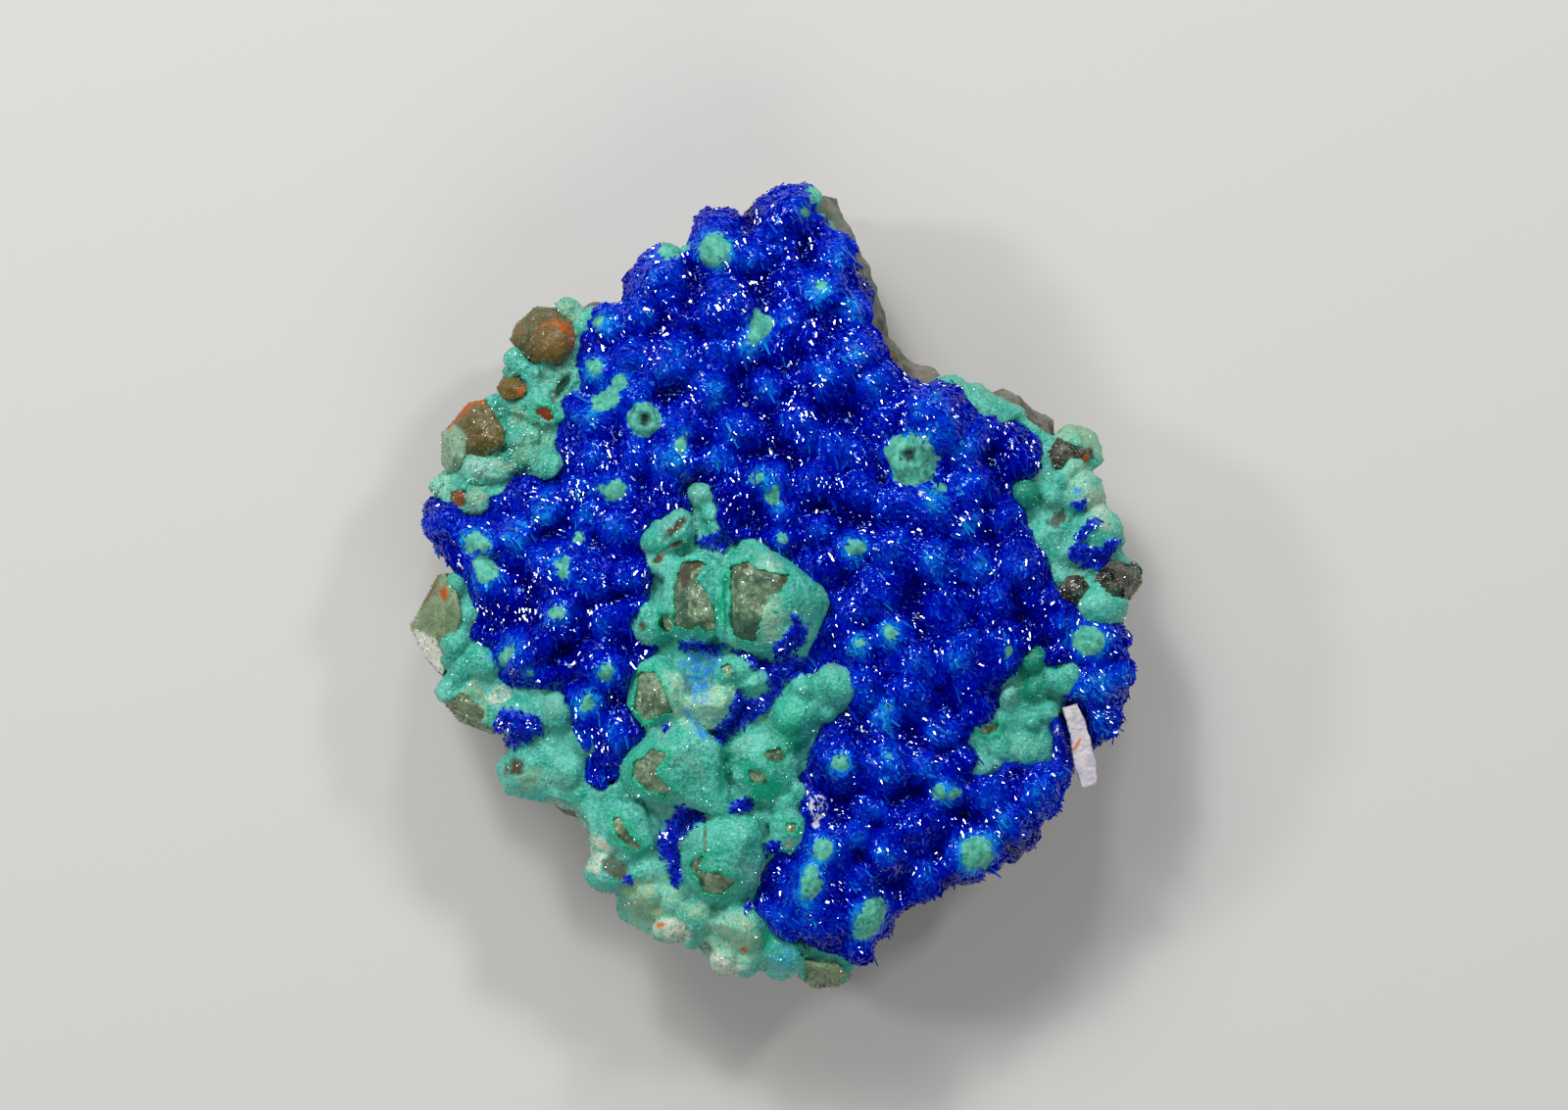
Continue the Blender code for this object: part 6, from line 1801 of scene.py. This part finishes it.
class CrystalSwarm:
    """Thousands of small crystals, joined in one mesh that grows on a crust."""

    def __init__(self, habit: Habit, seed: int) -> None:
        """Keep the habit and start its own random numbers."""
        self.habit = habit
        self.rng = np.random.default_rng(seed)

    def seed_crystal(self) -> tuple[np.ndarray, np.ndarray]:
        """The pattern crystal: a lath along +Y with a chisel end, as points and faces."""
        bm = bmesh.new()
        bmesh.ops.create_cube(bm, size=1.0, matrix=Matrix.Translation((0.0, 0.5, 0.0)))
        for vertex in bm.verts:
            if vertex.co.y > 0.5:
                vertex.co.x = vertex.co.x * (1.0 - self.habit.chisel) + 0.25 * self.habit.chisel
                vertex.co.z = max(vertex.co.z, 0.6 * vertex.co.z)
        bmesh.ops.recalc_face_normals(bm, faces=bm.faces[:])
        points = np.array([vertex.co for vertex in bm.verts])
        faces = np.array([[vertex.index for vertex in face.verts] for face in bm.faces])
        bm.free()
        return points, faces

    def sites(self, obj: bpy.types.Object, weight: np.ndarray,
              cover: BVHTree | None) -> tuple[np.ndarray, np.ndarray, np.ndarray]:
        """Choose where crystals stand.

        Args:
            obj: The crust that they grow on.
            weight: How readily they grow at each of its points, 0 to 1.
            cover: What would hide them from above, or None.

        Returns:
            Their places and surface normals, in millimetres, and the nearest point's index.
        """
        mesh = obj.data
        mesh.calc_loop_triangles()
        corners = np.empty(len(mesh.loop_triangles) * 3, np.int64)
        mesh.loop_triangles.foreach_get("vertices", corners)
        corners = corners.reshape(-1, 3)
        points = points_of(obj)
        a, b, c = (points[corners[:, k]] for k in range(3))
        area = 0.5 * np.linalg.norm(np.cross(b - a, c - a), axis=1)
        share = area * weight[corners].mean(axis=1)
        chosen = self.rng.choice(len(corners), self.habit.count, p=share / share.sum())
        mix = self.rng.dirichlet((1.0, 1.0, 1.0), self.habit.count)
        places, facing = (np.einsum("nk,nkd->nd", mix, values[corners[chosen]])
                          for values in (points, vectors_of(mesh.vertex_normals, "vector")))
        facing = unit(facing)
        nearest = corners[chosen, 0]
        if cover is not None:
            up = Vector((0.0, 0.0, 1.0))
            shown = np.array([cover.ray_cast(Vector(place), up, 6.0)[0] is None
                              for place in places.tolist()])
            places, facing, nearest = places[shown], facing[shown], nearest[shown]
        return places, facing, nearest

    def turned(self, places: np.ndarray, facing: np.ndarray) -> tuple[np.ndarray, np.ndarray]:
        """Each crystal's axes (across, along and out, as a matrix's columns) and if it glints."""
        count = len(places)
        flow_angle = np.radians(FLOW_TURN) + 0.8 * roughness_of(places, 7.0, 2)
        flow = np.stack([np.cos(flow_angle), np.sin(flow_angle), np.zeros(count)], axis=1)
        spin = unit(self.rng.normal(size=(count, 3)))
        along = self.habit.along_flow * flow + (1.0 - self.habit.along_flow) * spin
        along[:, 2] -= 0.25 * (1.0 - facing[:, 2])
        along = unit(squared(along, facing))
        lift = np.radians(self.rng.uniform(*self.habit.lift, count))[:, None]
        along = along * np.cos(lift) + facing * np.sin(lift)
        out = facing + 0.35 * self.rng.normal(size=(count, 3))
        ways = glint_ways(places)
        fit = np.einsum("lnd,nd->ln", ways, facing)
        best = np.argmax(fit + 0.25 * self.rng.normal(size=fit.shape), axis=0)
        each = np.arange(count)
        lucky = self.habit.mirrors * np.where(roughness_of(places, 1.8) > 0.12, 2.4, 0.4)
        shiny = (self.rng.uniform(size=count) < lucky) & (fit[best, each] > 0.6)
        out[shiny] = (ways[best, each] + GLINT_STRAY * self.rng.normal(size=(count, 3)))[shiny]
        along[shiny] = squared(along, out)[shiny]
        along = unit(along)
        out = unit(squared(out, along))
        return np.stack([np.cross(along, out), along, out], axis=2), shiny

    def grow(self, obj: bpy.types.Object, weight: np.ndarray, tone: np.ndarray,
             cover: BVHTree | None = None) -> bpy.types.Object:
        """Grow the crystals on a crust.

        Args:
            obj: The crust.
            weight: How readily they grow at each of its points, 0 to 1.
            tone: Their colour's place on its ramp at each of its points.
            cover: What would hide them from above, or None.

        Returns:
            One object that holds them all.
        """
        pattern, faces = self.seed_crystal()
        places, facing, nearest = self.sites(obj, weight, cover)
        count = len(places)
        habit = self.habit
        size = self.rng.beta(1.3, 3.2, count)
        narrow, wide = habit.width
        sizes = np.stack([
            narrow + (wide - narrow) * size * self.rng.uniform(0.6, 1.3, count),
            between(habit.length, size), between(habit.thickness, size)], axis=1)
        axes, shiny = self.turned(places, facing)
        sizes[shiny, :2] *= habit.mirror_size
        local = (pattern - np.array((0.0, habit.buried, 0.0))) * sizes[:, None, :]
        world = np.einsum("nij,nkj->nki", axes, local)
        world += (places + habit.raised * facing)[:, None, :]
        mesh = bpy.data.meshes.new(habit.name)
        mesh.vertices.add(count * len(pattern))
        mesh.vertices.foreach_set("co", (world * METRES_PER_MM).ravel())
        corner = faces[None, :, :] + (np.arange(count) * len(pattern))[:, None, None]
        mesh.loops.add(corner.size)
        mesh.loops.foreach_set("vertex_index", corner.ravel().astype(np.int32))
        mesh.polygons.add(count * len(faces))
        mesh.polygons.foreach_set("loop_start", np.arange(0, corner.size, 4, dtype=np.int32))
        mesh.update(calc_edges=True)
        mesh.shade_flat()
        shade = tone[nearest] + TONE_SPREAD * self.rng.normal(size=count)
        write_attribute(mesh, "tone", np.repeat(shade, len(pattern)))
        return added(habit.name, mesh)


def cover_of(objects: Sequence[bpy.types.Object]) -> BVHTree:
    """A search tree over several pieces, in millimetres."""
    verts: list = []
    faces: list = []
    for obj in objects:
        first = len(verts)
        verts += points_of(obj).tolist()
        faces += [[first + index for index in face.vertices] for face in obj.data.polygons]
    return BVHTree.FromPolygons(verts, faces)


# --- rock, quartz and the white blade ---------------------------------------------------
@dataclass
class Rock:
    """The quartz rock that carries the crusts, broken and sugary on its sides."""

    voxel: float = 0.36
    foot_height: float = 0.25
    swell: float = 0.22
    breaks: float = 0.30
    break_span: float = 2.4
    grit: float = 0.09
    grit_span: float = 0.6

    def build(self) -> bpy.types.Object:
        """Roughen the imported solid's form and keep its foot flat."""
        skin = node_copy("quartz_matrix", self.voxel)
        points = skin.points
        foot = points[:, 2] < self.foot_height
        amount = (self.swell + self.breaks * roughness_of(points, self.break_span)
                  + self.grit * roughness_of(points, self.grit_span))
        skin.push(np.where(foot, 0.0, amount))
        points[:, 2] = np.maximum(points[:, 2], 0.0)
        points[foot, 2] = 0.0
        return skin.finish(bent=False)


@dataclass
class Quartz:
    """A quartz crystal, bare or under an opening in the coat."""

    name: str
    faces: tuple[Facets, ...]
    rounds: tuple[Lobe, ...] = ()
    shafts: tuple[Coated, ...] = ()
    within: float = 0.0
    foot: float = CRUST_BOTTOM
    voxel: float = QUARTZ_VOXEL
    grit: float = 0.05
    wear: float = 0.05
    stain_reach: float = 0.7

    def build(self) -> bpy.types.Object:
        """Shape the faces, wear them a little and mark the stains."""
        relief = Relief(self.name)
        for crystal in self.faces:
            relief.add_facets(crystal, self.foot, self.within)
        relief.add_lobes(self.rounds)
        for site in self.shafts:
            relief.add_coated(replace(site, radius=site.radius - self.within,
                                      rise=site.rise - self.within))
        skin = relief.melt(self.voxel)
        points = skin.points
        stray = roughness_of(points, 0.4)
        skin.push(self.grit * stray + self.wear * roughness_of(points, 1.3, 2))
        for tint in QUARTZ_TINTS:
            marked = tinted(points, tint, QUARTZ_MARKS, stray)
            if tint is Tint.STAIN:
                marked *= smooth(BED_TOP - self.stain_reach, BED_TOP, points[:, 2] + 0.6 * stray)
            skin.mark(tint.value, marked)
        return skin.finish()


@dataclass
class WhiteBlade:
    """The loose white blade in the right edge."""

    voxel: float = 0.06
    streak: tuple[Point2, Point2] = ((15.56, -7.82), (15.18, -8.40))
    streak_width: float = 0.10

    def build(self) -> bpy.types.Object:
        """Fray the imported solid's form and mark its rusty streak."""
        skin = node_copy("white_blade", self.voxel)
        points = skin.points
        start, end = (Vector(point) for point in self.streak)
        distance = np.array([side_distance(Vector(place[:2]), start, end)
                             for place in points.tolist()])
        skin.mark("stain", 1.0 - smooth(0.5 * self.streak_width, self.streak_width, distance))
        skin.push(0.05 * roughness_of(points, 0.5) + 0.02 * roughness_of(points, 0.15))
        return skin.finish(bent=False)


# --- floor, light and camera ------------------------------------------------------------
@dataclass(frozen=True)
class Lamp:
    """A square studio light: place in metres, size, power and whether surfaces mirror it."""

    name: str
    place: Point3
    size: float
    power: float
    mirrored: bool = True


# The small bright lamps that the crystals' faces mirror.
SPARKS: tuple[Lamp, ...] = (
    Lamp("spark_key", (-0.13, 0.28, 0.30), 0.05, 0.42),
    Lamp("spark_top", (0.04, 0.35, 0.26), 0.05, 0.40),
    Lamp("spark_right", (0.22, 0.20, 0.30), 0.05, 0.34),
    Lamp("spark_left", (-0.32, 0.08, 0.26), 0.05, 0.34),
)


# The camera: what it aims at and its place straight above, in millimetres.
AIM: Point3 = (0.425, 1.55, 9.0)
FRAME_WIDTH = 80.0
FOCAL_LENGTH = 100.0
SENSOR = 36.0
VIEWER: Point3 = (AIM[0], AIM[1], AIM[2] + FRAME_WIDTH * FOCAL_LENGTH / SENSOR)


@dataclass
class Studio:
    """Pale floor, soft light with a few small bright lamps, and the camera."""

    world: float = 0.15
    sky: Colour = (0.96, 0.98, 1.0)
    floor_size: float = 1.2
    floor_colour: Colour = (0.62, 0.61, 0.59)
    lamps: tuple[Lamp, ...] = (Lamp("key", (-0.15, 0.27, 0.30), 0.16, 0.72, False),
                               Lamp("fill", (0.09, -0.30, 0.30), 0.25, 0.40, False), *SPARKS)

    def build_floor(self, groups: Groups) -> None:
        """Lay the plain floor that the specimen rests on."""
        bm = bmesh.new()
        bmesh.ops.create_grid(bm, x_segments=1, y_segments=1, size=self.floor_size)
        floor = added("floor", mesh_from(bm, "floor"))
        shader = Shader("floor", groups, Roughness=0.8, Base_Color=self.floor_colour)
        floor.data.materials.append(shader.material)

    def build_light(self) -> None:
        """Light the scene evenly, with small lamps for glints."""
        scene = bpy.context.scene
        scene.world = bpy.data.worlds.new("studio")
        scene.world.use_nodes = True
        background = scene.world.node_tree.nodes["Background"]
        background.inputs["Color"].default_value = (*self.sky, 1.0)
        background.inputs["Strength"].default_value = self.world
        scene.world.cycles_visibility.glossy = False
        centre = Vector(AIM) * METRES_PER_MM
        for lamp in self.lamps:
            light = bpy.data.lights.new(lamp.name, "AREA")
            light.energy = lamp.power
            light.size = lamp.size
            obj = added(lamp.name, light)
            obj.location = lamp.place
            obj.rotation_euler = (centre - Vector(lamp.place)).to_track_quat("-Z", "Y").to_euler()
            obj.visible_glossy = lamp.mirrored
        scene.view_settings.view_transform = "Standard"

    def build_camera(self) -> None:
        """Look straight down on the specimen."""
        camera = bpy.data.cameras.new("camera")
        camera.lens = FOCAL_LENGTH
        camera.sensor_width = SENSOR
        camera.clip_start = 0.01
        obj = added("camera", camera)
        obj.location = Vector(VIEWER) * METRES_PER_MM
        bpy.context.scene.camera = obj


# --- assembly ---------------------------------------------------------------------------
STAINED = QuartzFinish("stained_quartz", (0.085, 0.078, 0.020), (0.19, 0.160, 0.058), tilt=0.25,
                       roughness=0.22, stain_low=0.68)
PALE = QuartzFinish("pale_quartz", (0.18, 0.29, 0.14), (0.32, 0.46, 0.26), tilt=0.18)
SMOKY = QuartzFinish("smoky_quartz", (0.016, 0.017, 0.012), (0.18, 0.18, 0.14), roughness=0.05,
                     veil=(0.25, 0.25, 0.22), tilt=0.8, grain=2600.0)
WINDOW = QuartzFinish("window_quartz", (0.085, 0.150, 0.085), (0.350, 0.500, 0.310),
                      veil=(0.48, 0.54, 0.38), clearness=0.10, stain=(0.080, 0.075, 0.045),
                      amber=(0.22, 0.048, 0.015), pale=(0.060, 0.130, 0.085), stain_low=0.60,
                      roughness=0.08, tilt=0.6)
BARE_QUARTZ: tuple[tuple[QuartzFinish, tuple[str, ...]], ...] = (
    (STAINED, ("stained_quartz_top", "stained_quartz_middle", "stained_quartz_left")),
    (PALE, ("pale_quartz_left_point", "pale_quartz_lower_left", "bottom_quartz")),
    (SMOKY, ("smoky_quartz_right", "smoky_quartz_right_inner", "smoky_quartz_right_upper")),
)
WINDOW_NODES: dict[str, str] = {
    "twin_left": "window_quartz_upper_left", "twin_right": "window_quartz_upper_right",
    "left": "window_quartz_left", "middle": "window_quartz_middle",
    "lower": "window_quartz_lower",
}
# Coated crystals with small openings, in which quartz shows.
PIERCED: tuple[Coated, ...] = (*COATED["lower"][:2], COATED["pocket"][1],
                               COATED["upper_left"][0], COATED["upper_left"][5])
SMALL_LOBES: dict[str, int] = {"lower": 150, "upper_left": 45, "right": 35, "pocket": 14}
SUGAR_COUNTS = (6500, 5200, 1600, 600)
ISLAND_COUNTS = {0: 3400, 2: 680}     # by the green crust's place in their order
BLADE_PIECES = 3
BLADES = Habit("linarite_blades", 15500, (0.12, 0.42), (0.07, 0.19), (0.05, 0.10), (0, 20),
               0.5, 0.25, 0.5)
LATHS = Habit("linarite_laths", 1500, (0.38, 1.0), (0.09, 0.20), (0.05, 0.09), (1, 14),
              0.5, 0.15, 0.85)
GLINTS = Habit("linarite_glints", 3200, (0.05, 0.32), (0.03, 0.115), (0.05, 0.08), (0, 6),
               0.5, 0.3, 0.75, 0.8, 0.05, 1.0)
ISLAND_BLADES = Habit("islands", 0, (0.12, 0.42), (0.06, 0.18), (0.05, 0.08), (0, 30),
                      0.5, 0.25, 0.3, 0.12, 0.02, 0.7)
SUGAR = Habit("green_sugar", 0, (0.07, 0.16), (0.05, 0.11), (0.05, 0.09), (25, 85),
              0.5, 0.45, 0.0, 0.12, 0.0, 0.9)
QUARTZ_SUGAR = Habit("quartz_sugar", 420, (0.06, 0.15), (0.05, 0.10), (0.04, 0.07), (10, 80),
                     0.5, 0.45, 0.0, 0.12, 0.0, 0.7)
SUGAR_STOPS: Stops = (
    (0.0, (0.05, 0.34, 0.26)), (0.5, (0.11, 0.45, 0.35)), (1.0, (0.34, 0.62, 0.52)),
)
QUARTZ_SUGAR_STOPS: Stops = (
    (0.0, (0.07, 0.10, 0.05)), (0.5, (0.20, 0.25, 0.14)), (1.0, (0.42, 0.46, 0.32)),
)


class Specimen:
    """The whole specimen, dressed piece by piece."""

    def __init__(self) -> None:
        """Build the shared effects."""
        self.groups: Groups = {effect.name: effect.build() for effect in EFFECTS}

    def dress_rock(self) -> None:
        """The rock under everything."""
        settle(Rock().build(), RockFinish().material(self.groups),
               ["quartz_matrix"])

    def dress_quartz(self) -> list[bpy.types.Object]:
        """The bare crystals and those under the windows."""
        made = []
        for finish, nodes in BARE_QUARTZ:
            material = finish.material(self.groups)
            for node in nodes:
                form = BARE_FORMS[node]
                crystal = Quartz(node + "_skin", (form.faces, *form.more), form.rounds)
                made.append(settle(crystal.build(), material, [node]))
        window = WINDOW.material(self.groups)
        under = {"within": COAT_THICKNESS, "foot": BED_TOP - FRONT_DEPTH}
        for place, node in WINDOW_NODES.items():
            crystal = Quartz(node + "_skin", (FACETS[place],), **under)
            made.append(settle(crystal.build(), window, [node]))
        small = Quartz("window_quartz_small", tuple(FACETS[place] for place in PORTHOLES),
                       shafts=PIERCED, **under)
        made.append(settle(small.build(), window))
        return made

    def dust_quartz(self, crystals: list[bpy.types.Object], cover: BVHTree) -> None:
        """Glittering grains on the quartz where the coat leaves it bare."""
        material = BladeFinish("quartz_sugar", 1.55, 0.05, 0.15, QUARTZ_SUGAR_STOPS).material(
            self.groups)
        for number, crystal in enumerate(crystals):
            habit = replace(QUARTZ_SUGAR, name=crystal.name + "_sugar")
            shape = smooth(BED_TOP - 1.0, BED_TOP, points_of(crystal)[:, 2])
            swarm = CrystalSwarm(habit, NOISE_SEED + number)
            settle(swarm.grow(crystal, shape, 0.5 * shape, cover), material)

    def dress_green(self) -> list[bpy.types.Object]:
        """The green crusts."""
        material = GreenFinish().material(self.groups)
        return [settle(GreenCrust(region, lobes).build(), material,
                       ["green_crust_" + region])
                for region, lobes in SMALL_LOBES.items()]

    def glint_crowd(self, places: np.ndarray) -> np.ndarray:
        """How thickly glints stand at each place of the blue crust."""
        crowd = 0.06 + 0.36 * smooth(0.0, 0.4, roughness_of(places, 2.2))
        for x, y, radius in GLINT_PLACES:
            reach = np.hypot(places[:, 0] - x, places[:, 1] - y) / radius
            crowd = np.maximum(crowd, 2.6 * smooth(-1.0, -0.3, -reach))
        return crowd

    def dress_blue(self, greens: list[bpy.types.Object], cover: BVHTree) -> None:
        """The blue crust and its crystals, and those on the green crusts' blue islands."""
        crust = LinariteCrust().build()
        settle(crust, LinariteFinish().material(self.groups), ["linarite_crust"])
        material = BladeFinish().material(self.groups)
        # The crystals take the crust's tone, with its painted shade in the hollows.
        weight, tone = read_attribute(crust, "grow"), read_attribute(crust, "tone")
        kinds = [(replace(BLADES, name=f"{BLADES.name}_{number + 1}"), NOISE_SEED + number,
                  weight, tone) for number in range(BLADE_PIECES)]
        kinds.append((LATHS, NOISE_SEED, weight, tone + 0.1))
        kinds.append((GLINTS, NOISE_SEED, weight * self.glint_crowd(points_of(crust)), tone))
        for habit, seed, readiness, shade in kinds:
            settle(CrystalSwarm(habit, seed).grow(crust, readiness, shade, cover), material)
        for number, count in ISLAND_COUNTS.items():
            green = greens[number]
            habit = replace(ISLAND_BLADES, name=green.name + "_islands", count=count)
            blue = read_attribute(green, "blue")
            settle(CrystalSwarm(habit, NOISE_SEED).grow(green, blue, np.full(len(blue), 0.56)),
                   material)

    def dust_green(self, greens: list[bpy.types.Object]) -> None:
        """The sugary grains on the green crusts."""
        material = BladeFinish("green_sugar", 1.6, 0.08, 0.22, SUGAR_STOPS).material(self.groups)
        for number, green in enumerate(greens):
            bare = (1.0 - read_attribute(green, "blue")) * (1.0 - read_attribute(green, "hollow_shade"))
            bare *= smooth(CRUST_BOTTOM + 1.0, CRUST_BOTTOM + 2.5, points_of(green)[:, 2])
            habit = replace(SUGAR, name=green.name + "_sugar", count=SUGAR_COUNTS[number])
            grown = CrystalSwarm(habit, NOISE_SEED + number).grow(
                green, bare, np.full(len(bare), 0.5))
            settle(grown, material)

    def dress_blade(self) -> None:
        """The loose white blade."""
        settle(WhiteBlade().build(), BladeWhiteFinish().material(self.groups),
               ["white_blade"])

    def build(self) -> None:
        """Dress every piece and set up the studio."""
        studio = Studio()
        studio.build_camera()
        self.dress_rock()
        crystals = self.dress_quartz()
        greens = self.dress_green()
        cover = cover_of(greens)
        self.dust_quartz(crystals, cover)
        self.dress_blue(greens, cover)
        self.dust_green(greens)
        self.dress_blade()
        studio.build_floor(self.groups)
        studio.build_light()


def main() -> None:
    """Dress the specimen."""
    logging.basicConfig(level=logging.INFO, format="%(message)s")
    noise.seed_set(NOISE_SEED)
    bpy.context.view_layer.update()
    Specimen().build()


if __name__ == "__main__":
    main()
